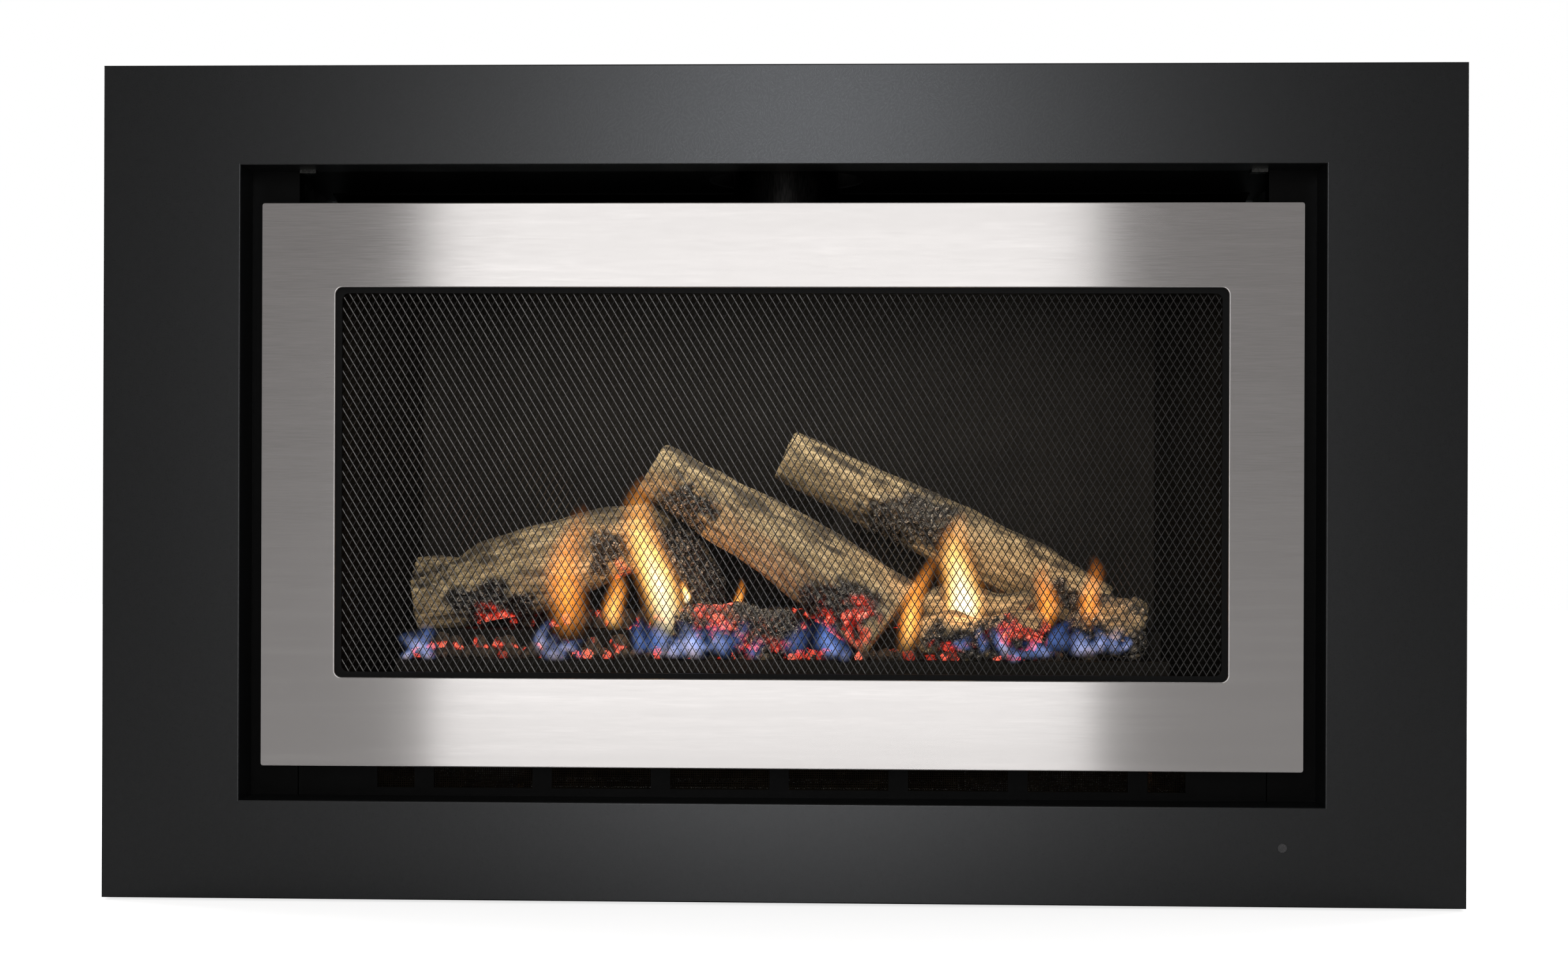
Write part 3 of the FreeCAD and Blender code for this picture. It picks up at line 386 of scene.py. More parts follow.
def step(value, low, high):
    """Zero below low, one above high and a smooth rise between them."""
    share = min(max((value - low) / (high - low), 0.0), 1.0)
    return share * share * (3.0 - 2.0 * share)


PATCH_EDGE = 1.35  # where a patch ends, in its own reaches
PATCH_FADE = 0.7  # how far inside that it is whole


def patch_share(point, patches):
    """How far inside the strongest of the patches a point is, seen from the front."""
    best = 0.0
    for x, z, reach_x, reach_z, strength in patches:
        away = math.hypot((point[0] - x) / reach_x, (point[2] - z) / reach_z)
        best = max(best, strength * step(PATCH_EDGE - away, 0.0, PATCH_FADE))
    return best


# Guard mesh

CELL_X = 0.0065
CELL_Z = 0.0109
STRAND_HALF = 0.00040
STRAND_DEEP = 0.00016
STRAND_TILTS = {1: math.radians(22.0), -1: math.radians(6.0)}  # for strands that rise and fall to the right
STRAND_SLOPE = CELL_Z / CELL_X
SHORTEST_STRAND = 1e-5
KNOT_HALVES = (0.00050, 0.00045, 0.00085)
mesh_middle_y = (mesh_low.y + mesh_high.y) / 2
strand_run = (mesh_high.z - mesh_low.z) / STRAND_SLOPE  # sideways, from the mesh's foot to its top


def add_strand(verts, faces, start, end, tilt):
    """A flat ribbon, turned about its length so that its face looks a little upwards."""
    along = (Vector((end[0], 0, end[1])) - Vector((start[0], 0, start[1]))).normalized()
    flat = Vector((-along.z, 0, along.x))
    flat *= 1 if flat.z > 0 else -1
    face = Vector((0, -1, 0)) * math.cos(tilt) + flat * math.sin(tilt)
    side = along.cross(face) * STRAND_HALF
    deep = face * STRAND_DEEP
    base = len(verts)
    for x, z in (start, end):
        centre = Vector((x, mesh_middle_y, z))
        verts.extend([centre + side + deep, centre - side + deep])
        verts.extend([centre - side - deep, centre + side - deep])
    for i in range(4):
        j = (i + 1) % 4
        faces.append((base + i, base + j, base + 4 + j, base + 4 + i))


def add_strands(verts, faces):
    """The strands of both slopes, cut off at the mesh's sides."""
    count = int((mesh_high.x - mesh_low.x + strand_run) / CELL_X) + 1
    for i in range(count):
        for way in (1, -1):
            foot = mesh_low.x - strand_run + i * CELL_X if way == 1 else mesh_low.x + i * CELL_X
            ends = []
            for share in (0.0, 1.0):
                x = min(max(foot + way * strand_run * share, mesh_low.x), mesh_high.x)
                ends.append((x, mesh_low.z + (x - foot) * way * STRAND_SLOPE))
            if abs(ends[0][0] - ends[1][0]) > SHORTEST_STRAND:
                add_strand(verts, faces, ends[0], ends[1], STRAND_TILTS[way])


def add_knot(verts, faces, x, z):
    """A bead of eight facets where two strands cross."""
    base = len(verts)
    for axis in range(3):
        for way in (1, -1):
            corner = Vector((x, mesh_middle_y, z))
            corner[axis] += way * KNOT_HALVES[axis]
            verts.append(corner)
    for a in (0, 1):
        for b in (2, 3):
            for c in (4, 5):
                face = (base + a, base + b, base + c)
                faces.append(face if (a + b + c) % 2 == 0 else face[::-1])


def add_knots(verts, faces):
    """A knot at each crossing, every other row half a cell along."""
    shift = (strand_run / CELL_X) % 1.0
    for row in range(int((mesh_high.z - mesh_low.z) * 2 / CELL_Z) + 1):
        z = mesh_low.z + row * CELL_Z / 2
        for i in range(-1, int((mesh_high.x - mesh_low.x) / CELL_X) + 2):
            x = mesh_low.x + (i + (1.0 - shift) / 2 + 0.5 * (row % 2)) * CELL_X
            if mesh_low.x < x < mesh_high.x:
                add_knot(verts, faces, x, z)


def guard_mesh(material):
    verts, faces = [], []
    add_strands(verts, faces)
    add_knots(verts, faces)
    return new_piece("guard_diamonds", verts, faces, GUARD, material, ["guard_mesh"])


# Intake net

NET_PITCH = 0.0019
NET_WIRE = 0.0009
BAR_FACES = ((0, 1, 3, 2), (4, 6, 7, 5), (0, 4, 5, 1), (2, 3, 7, 6), (0, 2, 6, 4), (1, 5, 7, 3))


def add_bar(verts, faces, low, high):
    base = len(verts)
    for x in (low[0], high[0]):
        for y in (low[1], high[1]):
            for z in (low[2], high[2]):
                verts.append((x, y, z))
    for face in BAR_FACES:
        faces.append(tuple(base + corner for corner in face))


def intake_net(material):
    """Fine net behind the intake's windows, its two layers of wire touching."""
    low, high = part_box("intake_mesh")
    middle_y = (low.y + high.y) / 2
    verts, faces = [], []
    for i in range(int((high.x - low.x - NET_WIRE) / NET_PITCH) + 1):
        x = low.x + i * NET_PITCH
        add_bar(verts, faces, (x, low.y, low.z), (x + NET_WIRE, middle_y, high.z))
    for i in range(int((high.z - low.z - NET_WIRE) / NET_PITCH) + 1):
        z = low.z + i * NET_PITCH
        add_bar(verts, faces, (low.x, middle_y, z), (high.x, high.y, z + NET_WIRE))
    return new_piece("intake_net", verts, faces, HEATER, material, ["intake_mesh"])


# Logs

# Patches of each log: x, z, reach along x, reach along z, all in metres, and strength
CHAR = {
    "log_left": [(-0.267, 0.247, 0.040, 0.022, 1.0), (-0.156, 0.300, 0.020, 0.020, 0.9),
                 (-0.089, 0.311, 0.030, 0.030, 0.9), (-0.075, 0.268, 0.036, 0.036, 1.0),
                 (-0.327, 0.276, 0.028, 0.024, 0.5)],
    "log_middle": [(-0.089, 0.343, 0.031, 0.022, 1.0), (0.050, 0.253, 0.040, 0.027, 1.0)],
    "log_right": [(0.116, 0.331, 0.050, 0.030, 0.85), (0.255, 0.258, 0.018, 0.014, 1.0)],
    "small_logs": [(-0.042, 0.234, 0.085, 0.034, 1.0), (0.190, 0.222, 0.070, 0.022, 1.0),
                   (0.268, 0.236, 0.022, 0.030, 0.9), (0.312, 0.216, 0.040, 0.016, 0.8),
                   (0.305, 0.246, 0.040, 0.030, 0.5)],
}
EMBER = {
    "log_left": [(-0.261, 0.236, 0.016, 0.014, 1.0), (-0.142, 0.280, 0.011, 0.006, 1.0),
                 (-0.174, 0.231, 0.014, 0.018, 0.9)],
    "log_middle": [(0.063, 0.240, 0.026, 0.020, 1.0)],
    "log_right": [],
    "small_logs": [(-0.066, 0.238, 0.022, 0.014, 1.0), (-0.010, 0.222, 0.020, 0.008, 0.8),
                   (0.206, 0.228, 0.028, 0.014, 1.0), (0.150, 0.216, 0.018, 0.007, 0.8)],
}
# Passes of wear, and how far the lumps stand out, in metres
WEAR = {
    "log_left": (10, 0.0022),
    "log_middle": (10, 0.0018),
    "log_right": (10, 0.0018),
    "small_logs": (260, 0.0085),
}
RIDGES_PER_METRE = np.array((22, 85, 85))  # along the log and across it
GRAINS_PER_METRE = np.array((26, 210, 210))
LUMPS_PER_METRE = 38
BLOCKS_PER_METRE = 130
RAGS_PER_METRE = 90
RIDGE_NOISE = (0.8, 2.1, 4)  # fractal increment, lacunarity and octaves
BLOCK_BENDS = (70, 0.6)  # bends per metre of the blocks' edges, and their reach in blocks
PATCH_BENDS = ((45, 0.016), (130, 0.007))  # bends per metre of a patch's edge, and their reach in metres
RIDGE_HEIGHT = 0.0011
CRACK_HEIGHT = 0.0042
CRACK_BELOW_SHARE = 0.75  # share of the crack's height that lies below the bark
# Where each share of the skin starts and where it is whole
BLOCK_EDGE = (0.03, 0.3)
CHAR_EDGE = (0.12, 0.85)
EMBER_EDGE = (-0.35, 0.25)
# Painted shade on faces that look upward, in the dark bark colour.
TOP_SHADE_EDGE = (0.55, 1.1)
GROOVE_EDGE = (0.3, 0.7)
CHAR_RAGS = 0.25  # how far ragged noise moves the edge of the char
CRACK_EMBER_SHARE = 0.3  # share of the ember light that is left in the cracks
GROOVE_BARK = 0.75
BARK_DEPTH = 0.0006
LOG_GLOW = 1.7


def glow(shader, share, fine, strength):
    """Ember light where the share is high, in hot and dull spots."""
    reds = [(0.0, (0.5, 0.012, 0.005)), (0.6, (1.0, 0.05, 0.025)), (1.0, (1.0, 0.17, 0.10))]
    shader.feed("Emission Color", shader.ramp(share, reds))
    spots = shader.combine("MULTIPLY", share, shader.spread(fine, 0.0, 1.25))
    shader.feed("Emission Strength", shader.combine("MULTIPLY", spots, strength))


def bare_wood(shader, fine):
    """Pale grain along the log, with dark fissures."""
    grain_at = shader.attribute("log_place", "Vector")
    grain = shader.noise(grain_at, 1.0, 4.0, 0.6)
    tones = [(0.32, (0.050, 0.036, 0.020)), (0.48, (0.33, 0.262, 0.152)), (0.64, (0.66, 0.555, 0.37))]
    wood = shader.ramp(shader.mix(fine, grain, fine), tones)
    cells = shader.cells(grain_at, 0.8, "DISTANCE_TO_EDGE")
    fissure = shader.ramp(cells.outputs["Distance"], [(0.0, (0.75, 0.75, 0.75)), (0.1, (0, 0, 0))])
    dark = shader.ramp(fine, [(0.3, (0.03, 0.024, 0.016)), (0.7, (0.16, 0.125, 0.075))])
    return shader.mix(fissure, wood, dark)


def charred_wood(shader, fine):
    """Black cracks between blocks that carry pale ash, its palest specks painted glints."""
    crack = shader.ramp(fine, [(0.3, (0.003, 0.003, 0.003)), (0.7, (0.008, 0.007, 0.006))])
    # The palest stop paints silvery glints on the char's block tops.
    ash_and_glints = [(0.42, (0.010, 0.010, 0.010)), (0.54, (0.055, 0.053, 0.051)), (0.66, (0.46, 0.45, 0.43))]
    return shader.mix(shader.attribute("block"), crack, shader.ramp(fine, ash_and_glints))


def log_material():
    shader = Shader("log_bark", Specular_IOR_Level=0.5)
    fine = shader.noise(shader.place(), 520.0, 4.0, 0.65)
    bark_and_top_shade = shader.ramp(fine, [(0.3, (0.016, 0.013, 0.010)), (0.7, (0.10, 0.082, 0.056))])
    # Dark bark in the grooves and painted shade on upward faces, over the bare wood.
    worn_and_top_shade = shader.mix(shader.attribute("bark_and_top_shade"), bare_wood(shader, fine), bark_and_top_shade)
    char = shader.attribute("char")
    shader.colour(shader.mix(char, worn_and_top_shade, charred_wood(shader, fine)))
    shader.roughness(shader.map_range(char, UNIT_RANGE, (0.85, 0.27)))
    glow(shader, shader.attribute("ember"), fine, LOG_GLOW)
    shader.bump(fine, BARK_DEPTH, 0.8)
    return shader.material


def log_skin(node, point, normal, place):
    """How far the skin stands out at a point, and its shares of char, block, ember, and bark with painted
    shade on upward faces.
    """
    ridge = noise.fractal(Vector(place * RIDGES_PER_METRE), *RIDGE_NOISE)
    lump = noise.noise(point * LUMPS_PER_METRE)
    bends, reach = BLOCK_BENDS
    block_at = point * BLOCKS_PER_METRE + noise.noise_vector(point * bends) * reach
    near, far = noise.voronoi(block_at)[0][:2]
    block = step(far - near, *BLOCK_EDGE)
    warped = point.copy()
    for bends, reach in PATCH_BENDS:
        warped += noise.noise_vector(point * bends) * reach
    ragged = noise.noise(point * RAGS_PER_METRE)
    char = step(patch_share(warped, CHAR[node]) + CHAR_RAGS * ragged, *CHAR_EDGE)
    crack = CRACK_HEIGHT * (block - CRACK_BELOW_SHARE)
    height = RIDGE_HEIGHT * ridge + WEAR[node][1] * lump + char * crack
    lit = CRACK_EMBER_SHARE + (1.0 - CRACK_EMBER_SHARE) * block
    ember = patch_share(warped, EMBER[node]) * lit * step(ragged, *EMBER_EDGE)
    # Painted shade: upward faces darken to the bark colour.
    painted_top_shade = step(normal[2] + 0.5 * ridge + 0.25 * lump, *TOP_SHADE_EDGE)
    bark_and_top_shade = min(painted_top_shade + GROOVE_BARK * step(abs(ridge), *GROOVE_EDGE), 1.0)
    return height, char, block, ember, bark_and_top_shade


def log_piece(node, material):
    """The log's CAD form with bark ridges along it, and cracked blocks where it is charred."""
    mesh = remeshed(node, WEAR[node][0])
    count = len(mesh.vertices)
    points = np.empty(count * 3)
    mesh.vertices.foreach_get("co", points)
    points = points.reshape(-1, 3)
    normals = np.empty(count * 3, dtype=np.float32)
    mesh.vertex_normals.foreach_get("vector", normals)
    normals = normals.reshape(-1, 3)
    middle = points.mean(0)
    axes = np.linalg.svd(points[::7] - middle, full_matrices=False)[2]
    places = [axes @ (point - middle) for point in points]
    skin = [log_skin(node, Vector(point), normal, place)
            for point, normal, place in zip(points, normals, places)]
    heights, *shares = np.array(skin, dtype=np.float32).T
    mesh.vertices.foreach_set("co", (points + normals * heights[:, None]).ravel())
    for name, values in zip(("char", "block", "ember", "bark_and_top_shade"), shares):
        write_attribute(mesh, name, values)
    grain_places = (np.array(places) * GRAINS_PER_METRE).ravel()
    mesh.attributes.new("log_place", "FLOAT_VECTOR", "POINT").data.foreach_set("vector", grain_places)
    smooth_shade(mesh)
    mesh.update()
    return place_piece(node + "_bark", mesh, HEATER, material, [node])


# Coals

COAL_WEAR = 4
PITS_PER_METRE = 190
PIT_NOISE = (0.9, 2.0, 3)  # fractal increment, lacunarity and octaves
PIT_DEPTH = 0.0013
PIT_HEAT = 0.25  # how far a pit moves the edge of the heat
HEAT_PER_METRE = (85, 85, 95)
HEAT_SHIFT = Vector((7, 0, 0))
HEAT_EDGE = (0.30, 0.55)
COAL_GRAIN_DEPTH = 0.0005
COAL_GLOW = 1.6
GRIT_COUNT = 520
GRIT_SEED = 41
GRIT_DEPTHS = (0.008, 0.052)  # behind the tray's front edge
GRIT_REACHES = (0.0022, 0.0056)
GRIT_SEAT_SHARE = 0.7  # share of its reach that a grit's middle stands above the ledge
GRIT_HEATS = (-2.2, 1.0)  # below zero it is cold
GRIT_SHAPES = (3.1, 1.7, 0)  # how far apart in the noise two grits take their shapes
GRIT_LUMPS = 1.4
GRIT_SWELL = 0.5


def coal_material():
    shader = Shader("ember_coal", Specular_IOR_Level=0.3)
    fine = shader.noise(shader.place(), 650.0, 4.0, 0.6)
    shader.colour(shader.ramp(fine, [(0.35, (0.012, 0.010, 0.009)), (0.7, (0.07, 0.054, 0.043))]))
    shader.roughness(shader.spread(fine, 0.55, 0.85))
    glow(shader, shader.attribute("ember"), fine, COAL_GLOW)
    shader.bump(fine, COAL_GRAIN_DEPTH, 0.8)
    return shader.material


def coal_piece(material):
    """The bed of coals, pitted, with red heat in patches between them."""
    mesh = remeshed("ember_coals", COAL_WEAR)
    ember = []
    moved = []
    for vertex, normal in zip(mesh.vertices, mesh.vertex_normals):
        point = vertex.co.copy()
        pits = noise.fractal(point * PITS_PER_METRE, *PIT_NOISE)
        moved.append(point + Vector(normal.vector) * PIT_DEPTH * pits)
        warm_at = Vector([place * scale for place, scale in zip(point, HEAT_PER_METRE)])
        ember.append(step(noise.noise(warm_at + HEAT_SHIFT) + PIT_HEAT * pits, *HEAT_EDGE))
    for vertex, point in zip(mesh.vertices, moved):
        vertex.co = point
    write_attribute(mesh, "ember", ember)
    smooth_shade(mesh)
    mesh.update()
    return place_piece("coal_bed", mesh, HEATER, material, ["ember_coals"])


def unit_ball():
    """Corners and triangles of a ball of radius one."""
    ball = bmesh.new()
    bmesh.ops.create_icosphere(ball, subdivisions=2, radius=1.0)
    corners = [vertex.co.copy() for vertex in ball.verts]
    triangles = [tuple(vertex.index for vertex in face.verts) for face in ball.faces]
    ball.free()
    return corners, triangles


def ember_piece(material):
    """Small broken embers that fill the bed between the coals."""
    chance = random.Random(GRIT_SEED)
    corners, triangles = unit_ball()
    verts, faces, ember = [], [], []
    for i in range(GRIT_COUNT):
        x = chance.uniform(coal_low.x, coal_high.x)
        y = chance.uniform(tray_low.y + GRIT_DEPTHS[0], tray_low.y + GRIT_DEPTHS[1])
        reach = chance.uniform(*GRIT_REACHES)
        heat = max(0.0, chance.uniform(*GRIT_HEATS))
        centre = Vector((x, y, LEDGE_Z + reach * GRIT_SEAT_SHARE))
        shape = Vector([i * apart for apart in GRIT_SHAPES])
        base = len(verts)
        for corner in corners:
            swell = 1 + GRIT_SWELL * noise.noise(corner * GRIT_LUMPS + shape)
            verts.append(centre + corner * reach * swell)
            ember.append(heat)
        faces.extend(tuple(base + j for j in triangle) for triangle in triangles)
    piece = new_piece("ember_grit", verts, faces, HEATER, material)
    write_attribute(piece.data, "ember", ember)
    smooth_shade(piece.data)
    return piece


# Flames

# Foot x, foot z, tip x, tip z, width, brightness and y; all in metres but the brightness
TALL_FLAMES = [
    (-0.192, 0.220, -0.189, 0.346, 0.042, 0.30, -0.100),
    (-0.101, 0.222, -0.130, 0.372, 0.044, 0.85, -0.100),
    (-0.150, 0.230, -0.151, 0.290, 0.023, 0.55, -0.100),
    (-0.085, 0.254, -0.086, 0.277, 0.010, 0.90, -0.100),
    (-0.040, 0.236, -0.037, 0.279, 0.011, 0.60, -0.100),
    (0.110, 0.212, 0.131, 0.304, 0.024, 0.50, -0.119),
    (0.160, 0.214, 0.163, 0.340, 0.042, 1.00, -0.100),
    (0.277, 0.232, 0.276, 0.300, 0.024, 0.30, -0.100),
    (0.236, 0.232, 0.238, 0.296, 0.026, 0.30, -0.100),
]
TALL_LIGHT = 6.0
TALL_WISPS = (0.6, 1.0)  # how solid the thinnest and the fullest wisps are
LOW_COUNT = 90  # places along the burner; the dimmest stay empty
LOW_LEFT_X = -0.333
LOW_SPAN = 0.668
LOW_FEET = (-0.002, 0.010)
LOW_RISES = (0.012, 0.036)
LOW_WIDTHS = (0.012, 0.030)
LOW_LEANS = (-0.006, 0.006)
LOW_FRONT_Y = -0.124
LOW_DEPTHS = (0.0, 0.005)
LOW_GROUPS_PER_METRE = 17
LOW_GROUP_ROW = 3.3  # the line of the noise that places the groups
LOW_GROUP_EDGE = (-0.25, 0.45)
LOW_FLICKER = (-0.25, 0.25)
LOW_BRIGHTEST = 0.9
LOW_DIMMEST = 0.28
LOW_LIGHT = 6.5
LOW_WISPS = (0.03, 0.22)
FLAME_SEED = 7
FLAME_RINGS = 18
FLAME_SIDES = 16
FLAME_DEPTH_SHARE = 0.22  # depth as a share of the width
FLAME_FATNESS = 1.8  # makes the widest ring 1.15 times the flame's width
FLAME_FOOT = 0.25  # the larger, the wider the foot
FLAME_BLUNTNESS = 0.45  # power of the height left, for the width near the tip
FLAME_SWAY_SHARE = 0.13  # share of the width
FLAME_WAVE = 6.0  # radians from foot to tip
FLAME_BODY = 0.8  # how solid the brightest flame looks
FOOT_FADE_SHARE = 0.42  # share of the height over which the foot fades in
# Powers by which a flame thins: of the height left, of the nearness to its middle and of its brightness
TIP_FADE = 1.35
EDGE_FADE = 4
DIM_FADE = 0.6
SWIRLS = (0, 6)
WARM_STOPS = [(0.0, (0.70, 0.17, 0.02)), (0.3, (1.0, 0.34, 0.05)), (0.55, (1.0, 0.55, 0.16)),
              (0.82, (1.0, 0.88, 0.55))]
BLUE_STOPS = [(0.0, (0.12, 0.27, 1.0)), (0.3, (0.21, 0.38, 1.0)), (0.6, (0.48, 0.56, 1.0)),
              (0.9, (1.0, 0.80, 0.88))]


def flame_material(name, stops, strength, solid):
    """Thin light: the mesh carries its heat and how solid it looks, and wisps thin it further."""
    shader = Shader(name, Base_Color=(0, 0, 0, 1), Roughness=1.0, Specular_IOR_Level=0.0)
    wisps = shader.noise(shader.place((1, 1, 0.4)), 70.0, 2.0)
    shader.feed("Emission Color", shader.ramp(shader.attribute("flame_heat"), stops))
    shader.bsdf.inputs["Emission Strength"].default_value = strength
    body = shader.combine("MULTIPLY", shader.attribute("flame_body"), shader.spread(wisps, *solid))
    shader.feed("Alpha", body)
    return shader.material


def add_flame(made, foot, tip, width, bright, depth_y, swirl):
    """A flattened tongue with a blunt top, its edges, foot and tip fading out."""
    verts, faces, heat, body = made
    base = len(verts)
    for ring in range(FLAME_RINGS + 1):
        share = ring / FLAME_RINGS
        half = width / 2 * (FLAME_FOOT + share) ** 0.5 * (1 - share) ** FLAME_BLUNTNESS * FLAME_FATNESS
        sway = FLAME_SWAY_SHARE * width * math.sin(FLAME_WAVE * share + swirl) * share * 2
        x = foot[0] + (tip[0] - foot[0]) * share + sway
        z = foot[1] + (tip[1] - foot[1]) * share
        ends = step(share, 0.0, FOOT_FADE_SHARE) * (1 - share) ** TIP_FADE
        for side in range(FLAME_SIDES):
            angle = 2 * math.pi * side / FLAME_SIDES
            across = math.cos(angle)
            verts.append((x + half * across, depth_y + FLAME_DEPTH_SHARE * half * math.sin(angle), z))
            core = 1 - across * across
            heat.append(bright * core * (1 - share) ** 0.5)
            body.append(FLAME_BODY * bright ** DIM_FADE * core ** EDGE_FADE * ends)
    for ring in range(FLAME_RINGS):
        for side in range(FLAME_SIDES):
            other = (side + 1) % FLAME_SIDES
            low, high = base + ring * FLAME_SIDES, base + (ring + 1) * FLAME_SIDES
            faces.append((low + side, low + other, high + other, high + side))


def flame_piece(name, made, material):
    verts, faces, heat, body = made
    piece = new_piece(name, verts, faces, HEATER, material)
    write_attribute(piece.data, "flame_heat", heat)
    write_attribute(piece.data, "flame_body", body)
    smooth_shade(piece.data)
    return piece


def tall_flames(chance):
    made = ([], [], [], [])
    for foot_x, foot_z, tip_x, tip_z, width, bright, y in TALL_FLAMES:
        add_flame(made, (foot_x, foot_z), (tip_x, tip_z), width, bright, y, chance.uniform(*SWIRLS))
    flame_piece("tall_flames", made, flame_material("flame_yellow", WARM_STOPS, TALL_LIGHT, TALL_WISPS))


def low_flames(chance):
    """Small blue tongues along the front of the burner, in groups."""
    made = ([], [], [], [])
    for i in range(LOW_COUNT):
        x = LOW_LEFT_X + LOW_SPAN * (i + chance.uniform(-0.5, 0.5)) / (LOW_COUNT - 1)
        foot = LEDGE_Z + chance.uniform(*LOW_FEET)
        rise = chance.uniform(*LOW_RISES)
        group = noise.noise(Vector((x * LOW_GROUPS_PER_METRE, LOW_GROUP_ROW, 0)))
        bright = LOW_BRIGHTEST * step(group + chance.uniform(*LOW_FLICKER), *LOW_GROUP_EDGE)
        if bright > LOW_DIMMEST:
            tip = (x + chance.uniform(*LOW_LEANS), foot + rise)
            width = chance.uniform(*LOW_WIDTHS)
            y = LOW_FRONT_Y + chance.uniform(*LOW_DEPTHS)
            add_flame(made, (x, foot), tip, width, bright, y, chance.uniform(*SWIRLS))
    flame_piece("low_flames", made, flame_material("flame_blue", BLUE_STOPS, LOW_LIGHT, LOW_WISPS))


# Stage

WHITE = (1.0, 1.0, 1.0)
FLAME_GLOW = (1.0, 0.5, 0.2)
EMBER_GLOW = (1.0, 0.22, 0.1)
# Name, place, aim, width and height, watts, colour, and the group of pieces where it lights only those
AREA_LAMPS = [
    ("front_softbox", (-0.10, -2.7, 0.40), (-0.10, 0.0, 0.40), (1.3, 2.1), 13.3, WHITE, None),
    ("frame_low_softbox", (-0.042, -1.0, 0.085), (-0.042, 0.0, 0.085), (0.80, 0.13), 0.4,
     WHITE, "frame_only"),
    ("top_softbox", (0.0, -0.1, 2.6), (0.0, 0.0, 0.0), (2.6, 0.9), 6.0, WHITE, None),
    ("fascia_upper_softbox", (-0.02, -2.7, 1.15), (-0.02, 0.0, 1.15), (0.36, 0.6), 9.0,
     (0.89, 0.93, 1.0), "fascia_only"),
    ("fascia_lower_softbox", (-0.04, -2.7, 0.15), (-0.04, 0.0, 0.15), (0.36, 0.25), 8.6,
     (0.94, 0.96, 1.0), "fascia_only"),
    ("left_fill", (-2.4, 0.9, 1.5), (0.0, 0.0, 0.35), (1.2, 1.6), 24.0, WHITE, None),
    ("right_fill", (2.4, 1.4, 1.6), (0.0, 0.0, 0.35), (1.2, 1.6), 24.0, WHITE, None),
    ("log_light", (0.0, -0.125, 0.545), (0.0, -0.02, 0.28), (0.6, 0.02), 1.0,
     (1.0, 0.88, 0.70), "fire_only"),
    ("log_front_light", (0.0, -1.6, 0.75), (0.0, -0.02, 0.30), (0.8, 0.6), 29.0,
     (1.0, 0.85, 0.66), "fire_only"),
]
# Name, place, watts and colour of the lamps in the fire, which light only its pieces
FIRE_LAMPS = [
    ("flame_light_left", (-0.125, -0.120, 0.290), 0.24, FLAME_GLOW),
    ("flame_light_right", (0.160, -0.120, 0.275), 0.24, FLAME_GLOW),
    ("ember_light", (-0.045, -0.120, 0.232), 0.15, EMBER_GLOW),
    ("flame_light_end", (0.275, -0.118, 0.262), 0.12, FLAME_GLOW),
]
FIRE_LAMP_RADIUS = 0.02
FIRE_SLOTS = ("burner_steel", "firebox_black")  # finishes of the CAD nodes that the fire lights
ROOM_LIGHT = (1.0, 0.97, 0.96, 1.0)
ROOM_STRENGTH = 0.24
ROOM_SEEN = (1.0, 1.0, 1.0, 1.0)
FLOOR_HALF = 6
FLOOR_FADE = (0.2, 1.6)  # from and to where the floor grows as bright as the room
FLOOR_GLOW = (0.75, 1.0)


def add_lamp(name, kind, place, energy, colour):
    light = bpy.data.lights.new(name, kind)
    light.energy = energy
    light.color = colour
    lamp = bpy.data.objects.new(name, light)
    bpy.context.collection.objects.link(lamp)
    lamp.location = place
    return lamp


def lit_groups(fire):
    """The groups of pieces that some lamps light alone."""
    members = {
        "frame_only": [nodes["dress_frame"]],
        "fascia_only": [nodes["fascia_panel"]],
        "fire_only": fire,
    }
    groups = {}
    for name, pieces in members.items():
        groups[name] = bpy.data.collections.new(name)
        for piece in pieces:
            groups[name].objects.link(piece)
    return groups


def studio_lamps(fire):
    groups = lit_groups(fire)
    for name, place, aim, size, energy, colour, group in AREA_LAMPS:
        lamp = add_lamp(name, "AREA", place, energy, colour)
        lamp.data.shape = "RECTANGLE"
        lamp.data.size, lamp.data.size_y = size
        lamp.rotation_euler = (Vector(aim) - Vector(place)).to_track_quat("-Z", "Y").to_euler()
        if group:
            lamp.light_linking.receiver_collection = groups[group]
    for name, place, energy, colour in FIRE_LAMPS:
        lamp = add_lamp(name, "POINT", place, energy, colour)
        lamp.data.shadow_soft_size = FIRE_LAMP_RADIUS
        lamp.light_linking.receiver_collection = groups["fire_only"]


def pale_room():
    """A white room that lights the object more dimly than it looks."""
    scene = bpy.context.scene
    scene.view_settings.view_transform = "Standard"
    world = bpy.data.worlds.new("pale_room")
    scene.world = world
    world.use_nodes = True
    tree = world.node_tree
    tree.nodes.clear()
    path = tree.nodes.new("ShaderNodeLightPath")
    mix = tree.nodes.new("ShaderNodeMixShader")
    out = tree.nodes.new("ShaderNodeOutputWorld")
    tree.links.new(path.outputs["Is Camera Ray"], mix.inputs["Fac"])
    for i, (colour, strength) in enumerate(((ROOM_LIGHT, ROOM_STRENGTH), (ROOM_SEEN, 1.0))):
        background = tree.nodes.new("ShaderNodeBackground")
        background.inputs["Color"].default_value = colour
        background.inputs["Strength"].default_value = strength
        tree.links.new(background.outputs["Background"], mix.inputs[i + 1])
    tree.links.new(mix.outputs["Shader"], out.inputs["Surface"])


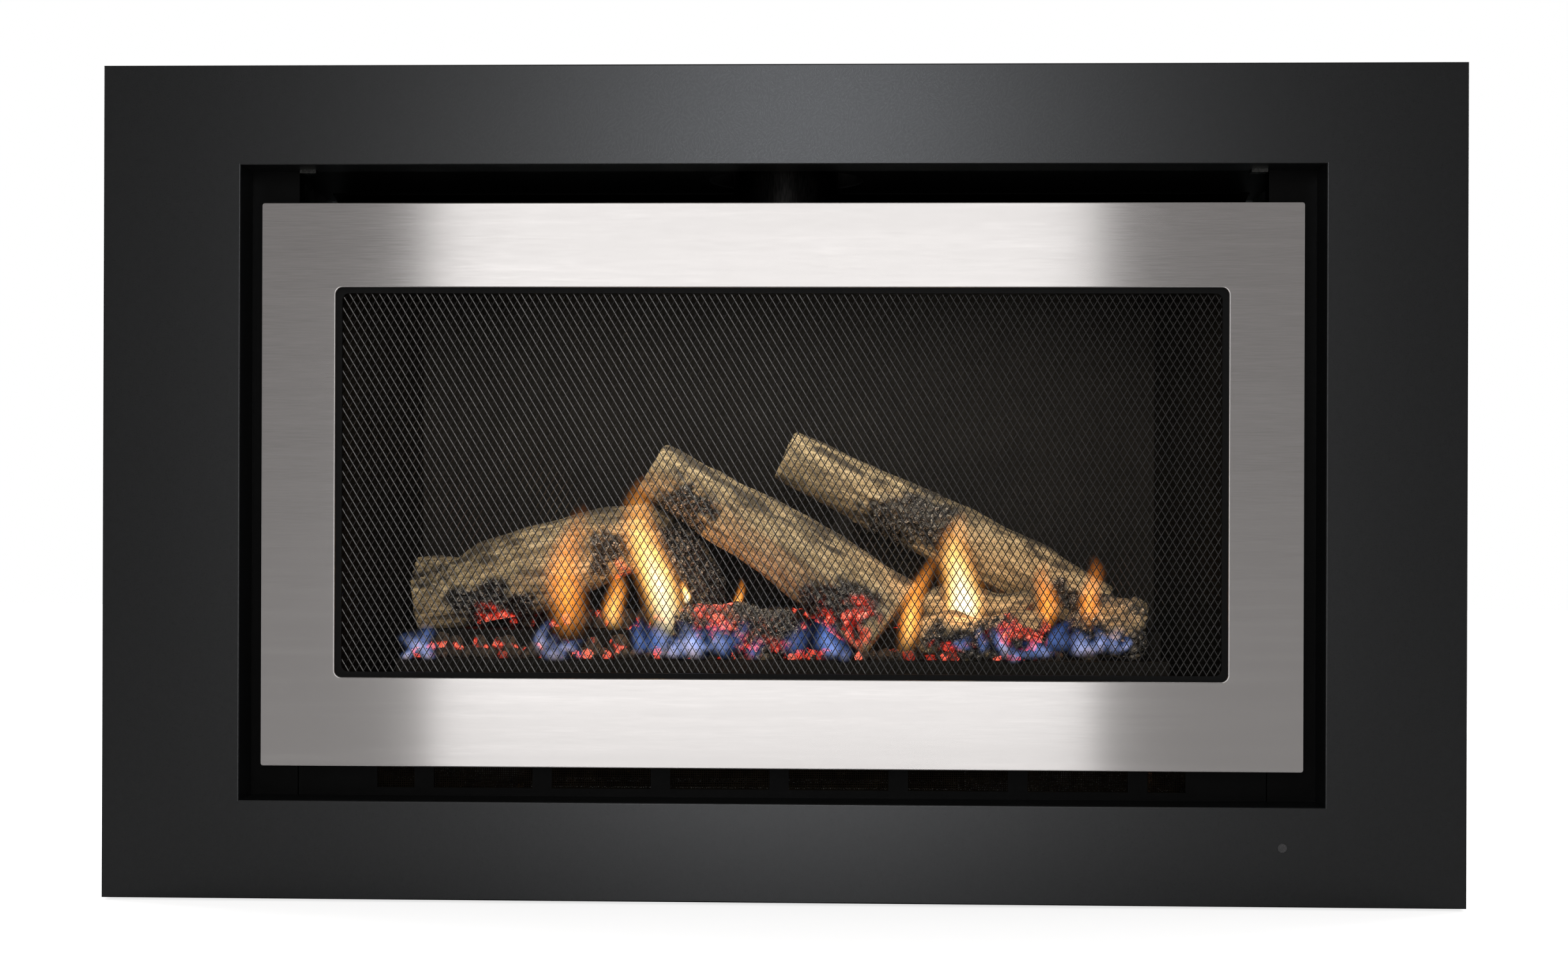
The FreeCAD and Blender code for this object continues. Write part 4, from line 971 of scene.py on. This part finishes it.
def pale_floor():
    """Near-white floor that grows as bright as the room away from the object."""
    shader = Shader("pale_floor", Roughness=0.8, Specular_IOR_Level=0.1, Emission_Color=ROOM_SEEN)
    tones = [(0.3, (0.84, 0.84, 0.84)), (0.7, (0.87, 0.87, 0.87))]
    shader.colour(shader.ramp(shader.noise(shader.place(), 30.0), tones))
    away = shader.length(shader.place((0.8, 1.2, 1.0)))
    fade = shader.map_range(away, FLOOR_FADE, FLOOR_GLOW, smooth=True)
    seen = shader.add("LightPath").outputs["Is Camera Ray"]
    shader.feed("Emission Strength", shader.combine("MULTIPLY", fade, seen))
    return shader.material


def studio_floor():
    corners = [(x * FLOOR_HALF, y * FLOOR_HALF, 0) for x, y in ((-1, -1), (1, -1), (1, 1), (-1, 1))]
    floor_mesh = bpy.data.meshes.new("studio_floor")
    floor_mesh.from_pydata(corners, [], [(0, 1, 2, 3)])
    floor_mesh.materials.append(pale_floor())
    floor = bpy.data.objects.new("studio_floor", floor_mesh)
    bpy.context.collection.objects.link(floor)


# Camera

CAMERA_PLACE = (0.052, -2.1925, 0.338)
CAMERA_TURN = (math.radians(90.0), math.radians(-0.195), math.radians(1.85))
CAMERA_LENS = 53.62
CAMERA_SENSOR = 36.0
CAMERA_SHIFT = (0.0127, 0.01647)


def photo_camera():
    data = bpy.data.cameras.new("photo_camera")
    data.lens = CAMERA_LENS
    data.sensor_width = CAMERA_SENSOR
    data.sensor_fit = "HORIZONTAL"
    data.shift_x, data.shift_y = CAMERA_SHIFT
    camera = bpy.data.objects.new("photo_camera", data)
    bpy.context.collection.objects.link(camera)
    camera.location = CAMERA_PLACE
    camera.rotation_euler = CAMERA_TURN
    bpy.context.scene.camera = camera


def main():
    noise.seed_set(NOISE_SEED)
    materials = finishes()
    dress_nodes(materials)
    guard_mesh(materials["mesh_steel"])
    intake_net(materials["net_brass"])
    bark_and_top_shade = log_material()
    fire = [log_piece(node, bark_and_top_shade) for node in CHAR]
    coal = coal_material()
    fire.append(coal_piece(coal))
    fire.append(ember_piece(coal))
    chance = random.Random(FLAME_SEED)
    tall_flames(chance)
    low_flames(chance)
    fire.extend(nodes[part["node"]] for part in frame["record"]["subparts"]
                if part["material_slot"] in FIRE_SLOTS)
    pale_room()
    studio_floor()
    studio_lamps(fire)
    photo_camera()


main()
